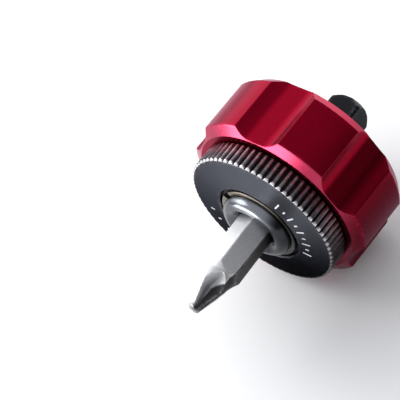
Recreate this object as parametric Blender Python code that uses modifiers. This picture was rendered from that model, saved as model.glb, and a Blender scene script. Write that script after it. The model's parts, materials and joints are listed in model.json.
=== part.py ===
"""Palm ratchet screwdriver: fluted grip, reversing ring, two-way ratchet, hexagon socket, square drive.

The tool's axis is local Z of the empty tool_axis, with 0 at the grip's back face and the bit at +Z.
The empty lays the tool on its side, bit towards -Y, resting on two neighbouring lands of the grip.
Sizes are stacked outwards from the bit and forwards from the grip's back face.
"""
from math import atan2, cos, hypot, pi, radians, sin, sqrt, tan, tau

import bmesh
import bpy
from mathutils import Matrix, Vector

MM = 0.001

# Clearances
RUNNING_GAP = 0.2 * MM      # between pieces that turn or slide on each other
SEAT_GAP = 0.15 * MM        # between pieces that are fixed to each other
CUT_MARGIN = 1.0 * MM       # how far a cutter runs past the face it opens

# Double-ended bit
BIT_ACROSS_FLATS = 6.35 * MM
BIT_LENGTH = 30.2 * MM
BIT_TURN = radians(49.2)    # direction in which one flat faces
POINT_LENGTH = 9.0 * MM     # from the end of the flats to the tip
POINT_NECK_RADIUS = 3.0 * MM
POINT_SHOULDER = 1.4 * MM
POINT_CONE_LENGTH = 4.8 * MM
POINT_NOSE_RADIUS = 1.05 * MM
POINT_CORE_RADIUS = 0.6 * MM
POINT_GROOVE_ANGLE = radians(92)    # between the two sides of a groove
POINT_GROOVE_RUN = 4.0 * MM         # straight part of a groove, from the tip
POINT_GROOVE_SWEEP = 3.8 * MM       # radius on which a groove then leaves the neck
POINT_GROOVE_LIFT = radians(75)     # how far round that radius it goes
BLADE_LENGTH = 6.0 * MM     # from the end of the flats to the edge
BLADE_EDGE_LENGTH = 1.2 * MM
BLADE_THICKNESS = 1.0 * MM
BLADE_NARROWING = 0.45 * MM  # how far the blade's half width lies inside the hexagon's corners

# Spindle
SPINDLE_WALL = 3.1 * MM     # outside the socket's corners
SOCKET_DEPTH = 12.6 * MM
SOCKET_MOUTH_RADIUS = 4.45 * MM
SOCKET_MOUTH_DEPTH = 0.8 * MM
LIP_HEIGHT = 1.75 * MM      # also the radius of its rounded outside
LIP_BEVEL = 0.35 * MM       # from the lip's crest back to the socket's mouth
LIP_SETBACK = 0.15 * MM     # how far the lip lies inside the journal, so that the ring passes over it
MAGNET_RADIUS = 2.3 * MM
MAGNET_LENGTH = 2.0 * MM
SEAT_SHOULDER = 0.65 * MM   # from the journal down to the corners of the gear's seat
REAR_JOURNAL_RADIUS = 4.6 * MM
REAR_SHOULDER = 0.6 * MM
DRIVE_ACROSS_FLATS = 6.35 * MM
DRIVE_CORNER_RADIUS = 4.15 * MM
DRIVE_LENGTH = 7.4 * MM
DRIVE_CHAMFER = 0.9 * MM
DRIVE_BALL_RADIUS = 1.15 * MM
DRIVE_BALL_PROUD = 0.55 * MM
DRIVE_BALL_SETBACK = 3.4 * MM   # from the end of the square to the ball
DRIVE_BALL_WALL = 0.9 * MM      # left under the ball's spring

# Snap rings and washers
SNAP_GROOVE_DEPTH = 0.6 * MM
FRONT_SNAP_WIDTH = 1.15 * MM
FRONT_SNAP_THICKNESS = 0.75 * MM
REAR_SNAP_WIDTH = 1.4 * MM
REAR_SNAP_THICKNESS = 0.7 * MM
SNAP_OPENING = radians(14)
FRONT_SNAP_TURN = radians(138)
REAR_SNAP_TURN = radians(250)
WASHER_THICKNESS = 0.6 * MM
WASHER_WIDTH = 2.2 * MM
BUSH_WALL = 1.2 * MM
BUSH_INSET = 0.2 * MM

# Ratchet
GEAR_TEETH = 60
GEAR_TOOTH_HEIGHT = 0.45 * MM
GEAR_TOOTH_LAND = 0.25      # flat top as a share of the pitch
GEAR_RIM = 1.45 * MM
GEAR_WIDTH = 5.4 * MM
PEG_RADIUS = 0.9 * MM
PEG_GEAR_SPACE = 1.0 * MM
PEG_INSERT = 3.0 * MM
SELECTOR_RANGE = radians(30)
PAWL_LIFT = radians(9.5)
PAWL_PIVOT_ANGLE = radians(52)   # from the mirror line between the pawls
PAWL_PIVOT_SPACE = 2.8 * MM      # from the gear's tips to the pivot
PAWL_PIN_RADIUS = 0.95 * MM
PAWL_EYE_WALL = 0.75 * MM
PAWL_TOOTH_START = radians(20.5)
PAWL_TOOTH_END = radians(33.5)
PAWL_NOSE_ANGLE = radians(5)
PAWL_NOSE_RAMP = 0.6 * MM
PAWL_NOSE_THICKNESS = 1.1 * MM
PAWL_SPRING_ANGLE = radians(27)
PAWL_SEAT_DEPTH = 0.7 * MM
PIN_INSERT = 2.4 * MM
MIRROR_LINE = radians(90)        # direction of the line between the two pawls
POCKET_SPACE = 0.5 * MM          # around the pawls
POCKET_END_ANGLE = radians(63)
SPRING_SIDE_SPACE = 0.8 * MM     # beside a pawl's spring, which leans as the pawl lifts

# Springs
SPRING_WIRE_RADIUS = 0.1 * MM
SPRING_RADIUS = 0.75 * MM
PAWL_SPRING_TURNS = 2.5
DETENT_SPRING_TURNS = 6
DRIVE_SPRING_TURNS = 4
SPRING_POINTS_PER_TURN = 9

# Cover plate, its screws and the selector's detent
PLATE_THICKNESS = 1.2 * MM
SCREW_ANGLES = tuple(radians(angle) for angle in (85, 145, 215, 275))
SCREW_SHANK_RADIUS = 0.8 * MM
SCREW_HEAD_RADIUS = 1.5 * MM
SCREW_HEAD_DEPTH = 0.7 * MM
SCREW_LENGTH = 5.0 * MM
SCREW_SOCKET_ACROSS_FLATS = 0.9 * MM
SCREW_SOCKET_DEPTH = 0.45 * MM
DETENT_ANGLE = radians(180)
DETENT_BALL_RADIUS = 1.0 * MM
DETENT_REACH = 0.25 * MM         # how far the ball stands into the selector ring
DETENT_POCKET_DEPTH = 0.3 * MM   # of the end pockets below the groove
DETENT_SPRING_LENGTH = 4.6 * MM

# Selector ring
HUB_DEPTH = 2.05 * MM
RING_WIDTH = 4.2 * MM
RING_OVERLAP = 0.65 * MM         # how far the ring's rim covers the grip's front face
RING_FACE_RISE = 0.9 * MM
RING_RIM_CHAMFER = 0.5 * MM
RING_RECESS_SPACE = 0.5 * MM     # around the snap ring, which lies in a recess of the face
RING_RECESS_DEPTH = 0.95 * MM
RING_RECESS_CHAMFER = 0.25 * MM
KNURL_TEETH = 72
KNURL_DEPTH = 0.5 * MM
KNURL_LAND = 0.4                 # flat top as a share of the pitch

# Grip
GRIP_BACK_WALL = 3.4 * MM
GRIP_WALL = 1.95 * MM            # between the counterbore and the bottom of a flute
HUB_SPACE = 0.5 * MM             # from the pocket out to the counterbore
FLUTE_COUNT = 6
FLUTE_ANGLE = radians(30)        # between the edges of the lands beside a flute
FLUTE_DEPTH = 1.75 * MM          # from the lands down to the flat floor
FLUTE_FLOOR_WIDTH = 6.3 * MM
FLUTE_CORNER_RADIUS = 1.2 * MM   # where the floor meets a side
FRONT_CHAMFER_LENGTH = 1.05 * MM
FRONT_CHAMFER_DEPTH = 1.9 * MM
BACK_CHAMFER_LENGTH = 1.7 * MM
BACK_CHAMFER_DEPTH = 1.4 * MM

# Facets
LARGE_ROUND = 72
ROUND = 48
SMALL_ROUND = 16
LIP_STEPS = 6
CORNER_STEPS = 4
POCKET_STEP = radians(8)
SHARP_ANGLE = radians(30)
MERGE_DISTANCE = 0.001 * MM

# Radii, outwards from the bit
SOCKET_ACROSS_FLATS = BIT_ACROSS_FLATS + 2 * RUNNING_GAP
SOCKET_CORNER = SOCKET_ACROSS_FLATS / 2 / cos(pi / 6)
BIT_CORNER = BIT_ACROSS_FLATS / 2 / cos(pi / 6)
JOURNAL_RADIUS = SOCKET_CORNER + SPINDLE_WALL
LIP_RADIUS = JOURNAL_RADIUS - LIP_SETBACK
SEAT_CORNER = JOURNAL_RADIUS - SEAT_SHOULDER
GEAR_BORE_CORNER = SEAT_CORNER + SEAT_GAP
GEAR_ROOT_RADIUS = GEAR_BORE_CORNER + GEAR_RIM
GEAR_TIP_RADIUS = GEAR_ROOT_RADIUS + GEAR_TOOTH_HEIGHT
GEAR_POCKET_RADIUS = GEAR_TIP_RADIUS + 2 * RUNNING_GAP
PEG_CIRCLE = GEAR_TIP_RADIUS + PEG_GEAR_SPACE + PEG_RADIUS
PIVOT_CIRCLE = GEAR_TIP_RADIUS + PAWL_PIVOT_SPACE
PAWL_BORE_RADIUS = PAWL_PIN_RADIUS + RUNNING_GAP
PAWL_EYE_RADIUS = PAWL_BORE_RADIUS + PAWL_EYE_WALL
POCKET_RADIUS = PIVOT_CIRCLE + PAWL_EYE_RADIUS + POCKET_SPACE
COUNTERBORE_RADIUS = POCKET_RADIUS + HUB_SPACE
SPRING_WALL_RADIUS = COUNTERBORE_RADIUS
HUB_RADIUS = COUNTERBORE_RADIUS - RUNNING_GAP
RING_RADIUS = COUNTERBORE_RADIUS + RING_OVERLAP
GRIP_RADIUS = COUNTERBORE_RADIUS + GRIP_WALL + FLUTE_DEPTH
SCREW_CIRCLE = (GEAR_POCKET_RADIUS + COUNTERBORE_RADIUS) / 2
DETENT_CIRCLE = SCREW_CIRCLE
BUSH_BORE = REAR_JOURNAL_RADIUS + RUNNING_GAP
BUSH_RADIUS = BUSH_BORE + BUSH_WALL
SPRING_OUTER_RADIUS = SPRING_RADIUS + SPRING_WIRE_RADIUS
FRONT_GROOVE_RADIUS = JOURNAL_RADIUS - SNAP_GROOVE_DEPTH
FRONT_SNAP_RADIUS = FRONT_GROOVE_RADIUS + SEAT_GAP
RECESS_RADIUS = FRONT_SNAP_RADIUS + FRONT_SNAP_WIDTH + RING_RECESS_SPACE
RING_BORE = JOURNAL_RADIUS + RUNNING_GAP
REAR_GROOVE_RADIUS = REAR_JOURNAL_RADIUS - SNAP_GROOVE_DEPTH
REAR_SNAP_RADIUS = REAR_GROOVE_RADIUS + SEAT_GAP

# Levels, forwards from the grip's back face
THRUST_WASHER_BACK = GRIP_BACK_WALL + SEAT_GAP
THRUST_WASHER_FRONT = THRUST_WASHER_BACK + WASHER_THICKNESS
GEAR_BACK = THRUST_WASHER_FRONT + RUNNING_GAP
GEAR_FRONT = GEAR_BACK + GEAR_WIDTH
SHOULDER_LEVEL = GEAR_FRONT + SEAT_GAP
LEDGE_LEVEL = SHOULDER_LEVEL
PLATE_BACK = LEDGE_LEVEL + SEAT_GAP
PLATE_FRONT = PLATE_BACK + PLATE_THICKNESS
SCREW_END = PLATE_FRONT - SEAT_GAP - SCREW_LENGTH
PAWL_BACK = GRIP_BACK_WALL + RUNNING_GAP
PAWL_FRONT = PLATE_BACK - RUNNING_GAP
PAWL_MIDDLE = (PAWL_BACK + PAWL_FRONT) / 2
HUB_BACK = PLATE_FRONT + RUNNING_GAP
GRIP_LENGTH = HUB_BACK + HUB_DEPTH
RING_BACK = GRIP_LENGTH + RUNNING_GAP
RING_FRONT = RING_BACK + RING_WIDTH
RING_CROWN = RING_FRONT + RING_FACE_RISE
RECESS_FLOOR = RING_CROWN - RING_RECESS_DEPTH
FRONT_SNAP_BACK = RECESS_FLOOR + RUNNING_GAP
FRONT_SNAP_FRONT = FRONT_SNAP_BACK + FRONT_SNAP_THICKNESS
LIP_BACK = FRONT_SNAP_FRONT + SEAT_GAP
LIP_FRONT = LIP_BACK + LIP_HEIGHT
SOCKET_FLOOR = LIP_FRONT - SOCKET_DEPTH
MAGNET_FLOOR = SOCKET_FLOOR - MAGNET_LENGTH - 2 * SEAT_GAP
BIT_BACK = SOCKET_FLOOR + SEAT_GAP
BIT_FRONT = BIT_BACK + BIT_LENGTH
DETENT_BALL_LEVEL = HUB_BACK + DETENT_REACH - DETENT_BALL_RADIUS
DETENT_SPRING_FRONT = DETENT_BALL_LEVEL - DETENT_BALL_RADIUS - SEAT_GAP
DETENT_SPRING_BACK = DETENT_SPRING_FRONT - DETENT_SPRING_LENGTH

# Levels, backwards from the grip's back face
REAR_WASHER_FRONT = -RUNNING_GAP
REAR_WASHER_BACK = REAR_WASHER_FRONT - WASHER_THICKNESS
REAR_SNAP_FRONT = REAR_WASHER_BACK - SEAT_GAP
REAR_SNAP_BACK = REAR_SNAP_FRONT - REAR_SNAP_THICKNESS
REAR_JOURNAL_BACK = REAR_SNAP_BACK - SEAT_GAP - REAR_SHOULDER
DRIVE_BACK = REAR_JOURNAL_BACK - DRIVE_LENGTH
DRIVE_BALL_LEVEL = DRIVE_BACK + DRIVE_BALL_SETBACK

# The drive ball's hole, outwards from the axis
DRIVE_BALL_DIRECTION = (-1.0, 0.0, 0.0)
DRIVE_BALL_OUT = DRIVE_ACROSS_FLATS / 2 + DRIVE_BALL_PROUD - DRIVE_BALL_RADIUS
DRIVE_HOLE_FLOOR = DRIVE_BALL_WALL - DRIVE_ACROSS_FLATS / 2

# How the tool lies: on the edges of the two lands beside its lowest flute
AXIS_HEIGHT = GRIP_RADIUS * cos(FLUTE_ANGLE / 2)
AXIS_MIDDLE = (BIT_FRONT + DRIVE_BACK) / 2


def clear_scene():
    """Start from an empty file."""
    for leftover in list(bpy.data.objects):
        bpy.data.objects.remove(leftover, do_unlink=True)


def new_collection(name):
    """A collection linked to the scene."""
    collection = bpy.data.collections.new(name)
    bpy.context.scene.collection.children.link(collection)
    return collection


def new_material(name, colour, roughness, metallic):
    """A Principled material in one colour."""
    material = bpy.data.materials.new(name)
    material.use_nodes = True
    shader = material.node_tree.nodes["Principled BSDF"]
    shader.inputs["Base Color"].default_value = (*colour, 1.0)
    shader.inputs["Roughness"].default_value = roughness
    shader.inputs["Metallic"].default_value = metallic
    return material


def on_circle(radius, angle):
    """Point at an angle on a circle round the tool's axis."""
    return (radius * cos(angle), radius * sin(angle))


def arc(radius, start, end, steps, centre=(0.0, 0.0)):
    """Points along an arc, both ends included."""
    points = []
    for step in range(steps + 1):
        x, y = on_circle(radius, start + (end - start) * step / steps)
        points.append((centre[0] + x, centre[1] + y))
    return points


def circle(radius, steps, centre=(0.0, 0.0)):
    """Points round a circle."""
    return arc(radius, 0.0, tau, steps, centre)[:-1]


def regular_polygon(sides, corner_radius, flat_direction):
    """Corners of a regular polygon with one flat facing the given direction."""
    first = flat_direction + pi / sides
    return [on_circle(corner_radius, first + tau * side / sides) for side in range(sides)]


def toothed_outline(teeth, root_radius, tip_radius, land, turn=0.0):
    """Straight-sided teeth: a flat land and a V-shaped gap in each pitch."""
    pitch = tau / teeth
    points = []
    for tooth in range(teeth):
        middle = turn + tooth * pitch
        points.append(on_circle(tip_radius, middle - land * pitch / 2))
        points.append(on_circle(tip_radius, middle + land * pitch / 2))
        points.append(on_circle(root_radius, middle + pitch / 2))
    return points


def weld(mesh):
    """Merge the loose seams of a swept mesh and turn its faces outwards."""
    work = bmesh.new()
    work.from_mesh(mesh)
    bmesh.ops.remove_doubles(work, verts=work.verts, dist=MERGE_DISTANCE)
    bmesh.ops.recalc_face_normals(work, faces=work.faces)
    work.to_mesh(mesh)
    work.free()


def evaluated_mesh(source):
    """Turn a temporary curve or profile object into a plain closed mesh, and remove the object."""
    bpy.context.scene.collection.objects.link(source)
    bpy.context.view_layer.update()
    graph = bpy.context.evaluated_depsgraph_get()
    mesh = bpy.data.meshes.new_from_object(source.evaluated_get(graph))
    bpy.data.objects.remove(source, do_unlink=True)
    return mesh


def smooth(mesh):
    """Shade round faces smooth and keep edges crisp."""
    mesh.shade_smooth()
    mesh.set_sharp_from_angle(angle=SHARP_ANGLE)
    return mesh


def prism_mesh(loops, bottom, top):
    """Flat outline, with holes if more loops are given, extruded along the axis.

    The curve is drawn in millimetres, because a curve's fill joins points that lie very close.
    """
    curve = bpy.data.curves.new("outline", "CURVE")
    curve.dimensions = "2D"
    curve.fill_mode = "BOTH"
    curve.extrude = (top - bottom) / 2 / MM
    for loop in loops:
        spline = curve.splines.new("POLY")
        spline.points.add(len(loop) - 1)
        for point, (x, y) in zip(spline.points, loop):
            point.co = (x / MM, y / MM, 0.0, 1.0)
        spline.use_cyclic_u = True
    mesh = evaluated_mesh(bpy.data.objects.new("outline", curve))
    mesh.transform(Matrix.Translation((0.0, 0.0, (top + bottom) / 2)) @ Matrix.Scale(MM, 4))
    weld(mesh)
    return smooth(mesh)


def skin_mesh(rows):
    """Closed skin over rows of points that all have the same count."""
    size = len(rows[0])
    points = [point for row in rows for point in row]
    last = len(points) - size
    faces = [tuple(range(size)), tuple(range(last, len(points)))]
    for start in range(0, last, size):
        for side in range(size):
            after = (side + 1) % size
            faces.append((start + side, start + after, start + size + after, start + size + side))
    mesh = bpy.data.meshes.new("skin")
    mesh.from_pydata(points, [], faces)
    weld(mesh)
    return smooth(mesh)


def turned_mesh(profile, steps, closed=True):
    """Profile of (radius, level) points, turned round the axis.

    A closed profile makes a ring. An open one starts and ends on the axis.
    """
    mesh = bpy.data.meshes.new("profile")
    count = len(profile)
    edges = [(index, (index + 1) % count) for index in range(count if closed else count - 1)]
    mesh.from_pydata([(radius, 0.0, level) for radius, level in profile], edges, [])
    source = bpy.data.objects.new("profile", mesh)
    screw = source.modifiers.new("turn", "SCREW")
    screw.axis = "Z"
    screw.steps = steps
    screw.render_steps = steps
    screw.use_merge_vertices = True
    screw.merge_threshold = MERGE_DISTANCE
    turned = evaluated_mesh(source)
    weld(turned)
    return smooth(turned)


def washer_profile(inner, outer, bottom, top):
    """Rectangular section of a plain ring."""
    return [(outer, top), (outer, bottom), (inner, bottom), (inner, top)]


def pin_profile(radius, bottom, top, chamfer):
    """Section of a plain pin with chamfered ends."""
    return [(0.0, top), (radius - chamfer, top), (radius, top - chamfer),
            (radius, bottom + chamfer), (radius - chamfer, bottom), (0.0, bottom)]


def ball_mesh(radius):
    """Bearing ball."""
    mesh = bpy.data.meshes.new("ball")
    work = bmesh.new()
    bmesh.ops.create_uvsphere(work, u_segments=SMALL_ROUND, v_segments=SMALL_ROUND // 2, radius=radius)
    work.to_mesh(mesh)
    work.free()
    return smooth(mesh)


def spring_mesh(name, length, turns):
    """Open coil along +Z from 0, wound in one unbroken wire whose outer ends lie at 0 and length."""
    rise = length - 2 * SPRING_WIRE_RADIUS
    count = round(turns * SPRING_POINTS_PER_TURN) + 1
    path = []
    for index in range(count):
        share = index / (count - 1)
        x, y = on_circle(SPRING_RADIUS, tau * turns * share)
        path.append((x, y, SPRING_WIRE_RADIUS + rise * share))
    neighbours = SPRING_POINTS_PER_TURN // 2
    least = min(
        hypot(*(a - b for a, b in zip(path[first], path[second])))
        for first in range(count)
        for second in range(first + neighbours, count)
    )
    print(f"{name}: least gap between turns {(least - 2 * SPRING_WIRE_RADIUS) / MM:.2f} mm")
    curve = bpy.data.curves.new("wire", "CURVE")
    curve.dimensions = "3D"
    curve.bevel_depth = SPRING_WIRE_RADIUS / MM
    curve.bevel_resolution = 1
    curve.use_fill_caps = True
    spline = curve.splines.new("POLY")
    spline.points.add(count - 1)
    for point, place in zip(spline.points, path):
        point.co = (*(value / MM for value in place), 1.0)
    mesh = evaluated_mesh(bpy.data.objects.new("wire", curve))
    mesh.transform(Matrix.Scale(MM, 4))
    weld(mesh)
    return smooth(mesh)


clear_scene()
PARTS = new_collection("palm_ratchet_screwdriver")
CUTTERS = new_collection("cutters")

tool_axis = bpy.data.objects.new("tool_axis", None)
tool_axis.location = (0.0, AXIS_MIDDLE, AXIS_HEIGHT)
tool_axis.rotation_euler = (pi / 2, 0.0, 0.0)
PARTS.objects.link(tool_axis)

RED_ANODISED = new_material("red_anodised_aluminium", (0.42, 0.012, 0.03), 0.28, 1.0)
BLACK_ANODISED = new_material("black_anodised_aluminium", (0.03, 0.032, 0.036), 0.35, 0.9)
BLACK_STEEL = new_material("blackened_steel", (0.045, 0.048, 0.055), 0.25, 1.0)
TOOL_STEEL = new_material("satin_tool_steel", (0.62, 0.61, 0.59), 0.32, 1.0)
SPRING_STEEL = new_material("spring_steel", (0.45, 0.44, 0.43), 0.25, 1.0)
MACHINED_STEEL = new_material("machined_steel", (0.5, 0.5, 0.51), 0.35, 1.0)
BRONZE = new_material("bearing_bronze", (0.55, 0.34, 0.14), 0.4, 1.0)
MAGNET = new_material("nickel_magnet", (0.6, 0.58, 0.54), 0.2, 1.0)


def add_part(name, mesh, material, location=(0.0, 0.0, 0.0), turn=0.0):
    """One named sub-part on the tool's axis, or at its own place beside it."""
    part = bpy.data.objects.new(name, mesh)
    mesh.name = name
    mesh.materials.clear()
    mesh.materials.append(material)
    part.parent = tool_axis
    part.location = location
    part.rotation_euler = (0.0, 0.0, turn)
    PARTS.objects.link(part)
    return part


def cut(part, mesh, matrix=None, carrier=None, operation="DIFFERENCE"):
    """Cut a part with a hidden tool, placed in the frame of the tool's axis or of a carrier."""
    cutter = bpy.data.objects.new(f"{part.name}_cutter_{len(part.modifiers) + 1}", mesh)
    cutter.parent = carrier or tool_axis
    cutter.matrix_local = matrix or Matrix.Identity(4)
    cutter.hide_render = True
    cutter.display_type = "WIRE"
    CUTTERS.objects.link(cutter)
    boolean = part.modifiers.new(cutter.name, "BOOLEAN")
    boolean.object = cutter
    boolean.operation = operation
    boolean.solver = "EXACT"


def along(direction, start):
    """Frame whose Z axis points along a direction, with its origin at start."""
    turn = Vector(direction).to_track_quat("Z", "Y").to_matrix().to_4x4()
    return Matrix.Translation(start) @ turn


def hole_mesh(radius, bottom, top):
    """Plain round drill for a hole along the axis."""
    return turned_mesh([(0.0, top), (radius, top), (radius, bottom), (0.0, bottom)], SMALL_ROUND, False)


def mirror_angle(angle):
    """Direction of an angle that is counted from the line between the pawls."""
    return MIRROR_LINE + angle


def pivot_place(side):
    """Centre of a pawl's pivot."""
    return on_circle(PIVOT_CIRCLE, mirror_angle(side * PAWL_PIVOT_ANGLE))


def turned_about(point, centre, angle):
    """A point after a turn about a centre."""
    x = point[0] - centre[0]
    y = point[1] - centre[1]
    return (centre[0] + x * cos(angle) - y * sin(angle), centre[1] + x * sin(angle) + y * cos(angle))


def pocket_outline():
    """Milled ratchet pocket: round the gear, wide round the pawls, with a notch behind each spring."""
    notch = (SPRING_OUTER_RADIUS + SPRING_SIDE_SPACE) / SPRING_WALL_RADIUS
    edges = [
        (-POCKET_END_ANGLE, -PAWL_SPRING_ANGLE - notch, POCKET_RADIUS),
        (-PAWL_SPRING_ANGLE - notch, -PAWL_SPRING_ANGLE + notch, SPRING_WALL_RADIUS),
        (-PAWL_SPRING_ANGLE + notch, PAWL_SPRING_ANGLE - notch, POCKET_RADIUS),
        (PAWL_SPRING_ANGLE - notch, PAWL_SPRING_ANGLE + notch, SPRING_WALL_RADIUS),
        (PAWL_SPRING_ANGLE + notch, POCKET_END_ANGLE, POCKET_RADIUS),
        (POCKET_END_ANGLE, tau - POCKET_END_ANGLE, GEAR_POCKET_RADIUS),
    ]
    points = []
    for start, end, radius in edges:
        steps = max(2, round((end - start) / POCKET_STEP))
        points += arc(radius, mirror_angle(start), mirror_angle(end), steps)
    return points


def flute_outline():
    """Milled flute facing +X: flat floor, sloping sides that meet the lands, rounded inner corners."""
    floor = GRIP_RADIUS - FLUTE_DEPTH
    half_floor = FLUTE_FLOOR_WIDTH / 2
    land_x, land_y = on_circle(GRIP_RADIUS, FLUTE_ANGLE / 2)
    slope = atan2(land_x - floor, land_y - half_floor)
    setback = FLUTE_CORNER_RADIUS * tan(slope / 2)
    centre = (floor + FLUTE_CORNER_RADIUS, half_floor - setback)
    corner = arc(FLUTE_CORNER_RADIUS, pi, pi - slope, CORNER_STEPS, centre)
    run = (land_x - floor + CUT_MARGIN) / tan(slope)
    top = (land_x + CUT_MARGIN, half_floor + run)
    half = corner + [top]
    return half + [(x, -y) for x, y in reversed(half)]


def make_grip():
    """Fluted aluminium grip with the ratchet pocket, the pin holes and the detent's spring hole."""
    profile = [
        (COUNTERBORE_RADIUS, GRIP_LENGTH),
        (GRIP_RADIUS - FRONT_CHAMFER_DEPTH, GRIP_LENGTH),
        (GRIP_RADIUS, GRIP_LENGTH - FRONT_CHAMFER_LENGTH),
        (GRIP_RADIUS, BACK_CHAMFER_LENGTH),
        (GRIP_RADIUS - BACK_CHAMFER_DEPTH, 0.0),
        (BUSH_RADIUS + SEAT_GAP, 0.0),
        (BUSH_RADIUS + SEAT_GAP, LEDGE_LEVEL),
        (COUNTERBORE_RADIUS, LEDGE_LEVEL),
    ]
    grip = add_part("grip_body", turned_mesh(profile, LARGE_ROUND), RED_ANODISED)
    for flute in range(FLUTE_COUNT):
        cutter = prism_mesh([flute_outline()], -CUT_MARGIN, GRIP_LENGTH + CUT_MARGIN)
        cut(grip, cutter, Matrix.Rotation(MIRROR_LINE + tau * flute / FLUTE_COUNT, 4, "Z"))
    cut(grip, prism_mesh([pocket_outline()], GRIP_BACK_WALL, LEDGE_LEVEL + CUT_MARGIN))
    pin_hole = PAWL_PIN_RADIUS + SEAT_GAP
    for side in (1, -1):
        drill = hole_mesh(pin_hole, GRIP_BACK_WALL - PIN_INSERT - SEAT_GAP, GRIP_BACK_WALL + CUT_MARGIN)
        cut(grip, drill, Matrix.Translation((*pivot_place(side), 0.0)))
    for angle in SCREW_ANGLES:
        drill = hole_mesh(SCREW_SHANK_RADIUS + SEAT_GAP, SCREW_END - SEAT_GAP, PLATE_FRONT)
        cut(grip, drill, Matrix.Translation((*on_circle(SCREW_CIRCLE, mirror_angle(angle)), 0.0)))
    detent = on_circle(DETENT_CIRCLE, mirror_angle(DETENT_ANGLE))
    spring_hole = hole_mesh(DETENT_BALL_RADIUS + RUNNING_GAP, DETENT_SPRING_BACK - SEAT_GAP, PLATE_FRONT)
    cut(grip, spring_hole, Matrix.Translation((*detent, 0.0)))


def make_rear_bearing():
    """Bronze bush in the back wall, and the washers on both sides of the wall."""
    bush = washer_profile(BUSH_BORE, BUSH_RADIUS, BUSH_INSET, GRIP_BACK_WALL - BUSH_INSET)
    add_part("rear_bush", turned_mesh(bush, ROUND), BRONZE)
    washer_outer = BUSH_BORE + WASHER_WIDTH
    thrust = washer_profile(BUSH_BORE, washer_outer, THRUST_WASHER_BACK, THRUST_WASHER_FRONT)
    add_part("thrust_washer", turned_mesh(thrust, ROUND), MACHINED_STEEL)
    rear = washer_profile(BUSH_BORE, washer_outer, REAR_WASHER_BACK, REAR_WASHER_FRONT)
    add_part("rear_washer", turned_mesh(rear, ROUND), MACHINED_STEEL)


def snap_ring(name, inner, width, back, front, turn):
    """Split ring: a flat C with square ends."""
    outer = inner + width
    start = turn + SNAP_OPENING / 2
    end = turn + tau - SNAP_OPENING / 2
    outline = arc(outer, start, end, ROUND) + arc(inner, end, start, ROUND)
    add_part(name, prism_mesh([outline], back, front), SPRING_STEEL)


def lip_profile():
    """Rounded lip at the socket's mouth, from the mouth's edge over the crest to the journal."""
    centre = (LIP_RADIUS - LIP_HEIGHT, LIP_BACK)
    return [(SOCKET_MOUTH_RADIUS, LIP_FRONT - LIP_BEVEL)] + arc(LIP_HEIGHT, pi / 2, 0.0, LIP_STEPS, centre)


def make_spindle():
    """Turned spindle with milled flats: hexagon socket, seat of the gear, rear journal, square drive."""
    mouth_floor = LIP_FRONT - LIP_BEVEL - SOCKET_MOUTH_DEPTH
    profile = [(0.0, mouth_floor), (SOCKET_MOUTH_RADIUS - SOCKET_MOUTH_DEPTH, mouth_floor)]
    profile += lip_profile()
    profile += [
        (FRONT_GROOVE_RADIUS, LIP_BACK),
        (FRONT_GROOVE_RADIUS, FRONT_SNAP_BACK - SEAT_GAP),
        (JOURNAL_RADIUS, FRONT_SNAP_BACK - SEAT_GAP),
        (JOURNAL_RADIUS, SHOULDER_LEVEL),
        (SEAT_CORNER, SHOULDER_LEVEL),
        (SEAT_CORNER, GEAR_BACK),
        (REAR_JOURNAL_RADIUS, GEAR_BACK),
        (REAR_JOURNAL_RADIUS, REAR_SNAP_FRONT + SEAT_GAP / 2),
        (REAR_GROOVE_RADIUS, REAR_SNAP_FRONT + SEAT_GAP / 2),
        (REAR_GROOVE_RADIUS, REAR_SNAP_BACK - SEAT_GAP),
        (REAR_JOURNAL_RADIUS, REAR_SNAP_BACK - SEAT_GAP),
        (REAR_JOURNAL_RADIUS, REAR_JOURNAL_BACK),
        (DRIVE_CORNER_RADIUS, REAR_JOURNAL_BACK),
        (DRIVE_CORNER_RADIUS, DRIVE_BACK + DRIVE_CHAMFER),
        (DRIVE_CORNER_RADIUS - DRIVE_CHAMFER, DRIVE_BACK),
        (0.0, DRIVE_BACK),
    ]
    spindle = add_part("drive_spindle", turned_mesh(profile, ROUND, False), BLACK_STEEL)
    around_seat = circle(JOURNAL_RADIUS + CUT_MARGIN, ROUND)
    seat = regular_polygon(6, SEAT_CORNER, BIT_TURN)
    cut(spindle, prism_mesh([around_seat, seat], GEAR_BACK, SHOULDER_LEVEL))
    square = regular_polygon(4, DRIVE_ACROSS_FLATS / 2 / cos(pi / 4), 0.0)
    cut(spindle, prism_mesh([around_seat, square], DRIVE_BACK - CUT_MARGIN, REAR_JOURNAL_BACK))
    socket = regular_polygon(6, SOCKET_CORNER, BIT_TURN)
    cut(spindle, prism_mesh([socket], SOCKET_FLOOR, LIP_FRONT))
    cut(spindle, hole_mesh(MAGNET_RADIUS + SEAT_GAP, MAGNET_FLOOR, SOCKET_FLOOR + CUT_MARGIN))
    drill = hole_mesh(DRIVE_BALL_RADIUS + RUNNING_GAP, DRIVE_HOLE_FLOOR, DRIVE_CORNER_RADIUS + CUT_MARGIN)
    cut(spindle, drill, along(DRIVE_BALL_DIRECTION, (0.0, 0.0, DRIVE_BALL_LEVEL)))
    snap_ring("front_snap_ring", FRONT_SNAP_RADIUS, FRONT_SNAP_WIDTH, FRONT_SNAP_BACK, FRONT_SNAP_FRONT,
              FRONT_SNAP_TURN)
    snap_ring("rear_snap_ring", REAR_SNAP_RADIUS, REAR_SNAP_WIDTH, REAR_SNAP_BACK, REAR_SNAP_FRONT,
              REAR_SNAP_TURN)
    magnet = pin_profile(MAGNET_RADIUS, MAGNET_FLOOR + SEAT_GAP, SOCKET_FLOOR - SEAT_GAP, SEAT_GAP)
    add_part("bit_magnet", turned_mesh(magnet, SMALL_ROUND, False), MAGNET)


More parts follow.
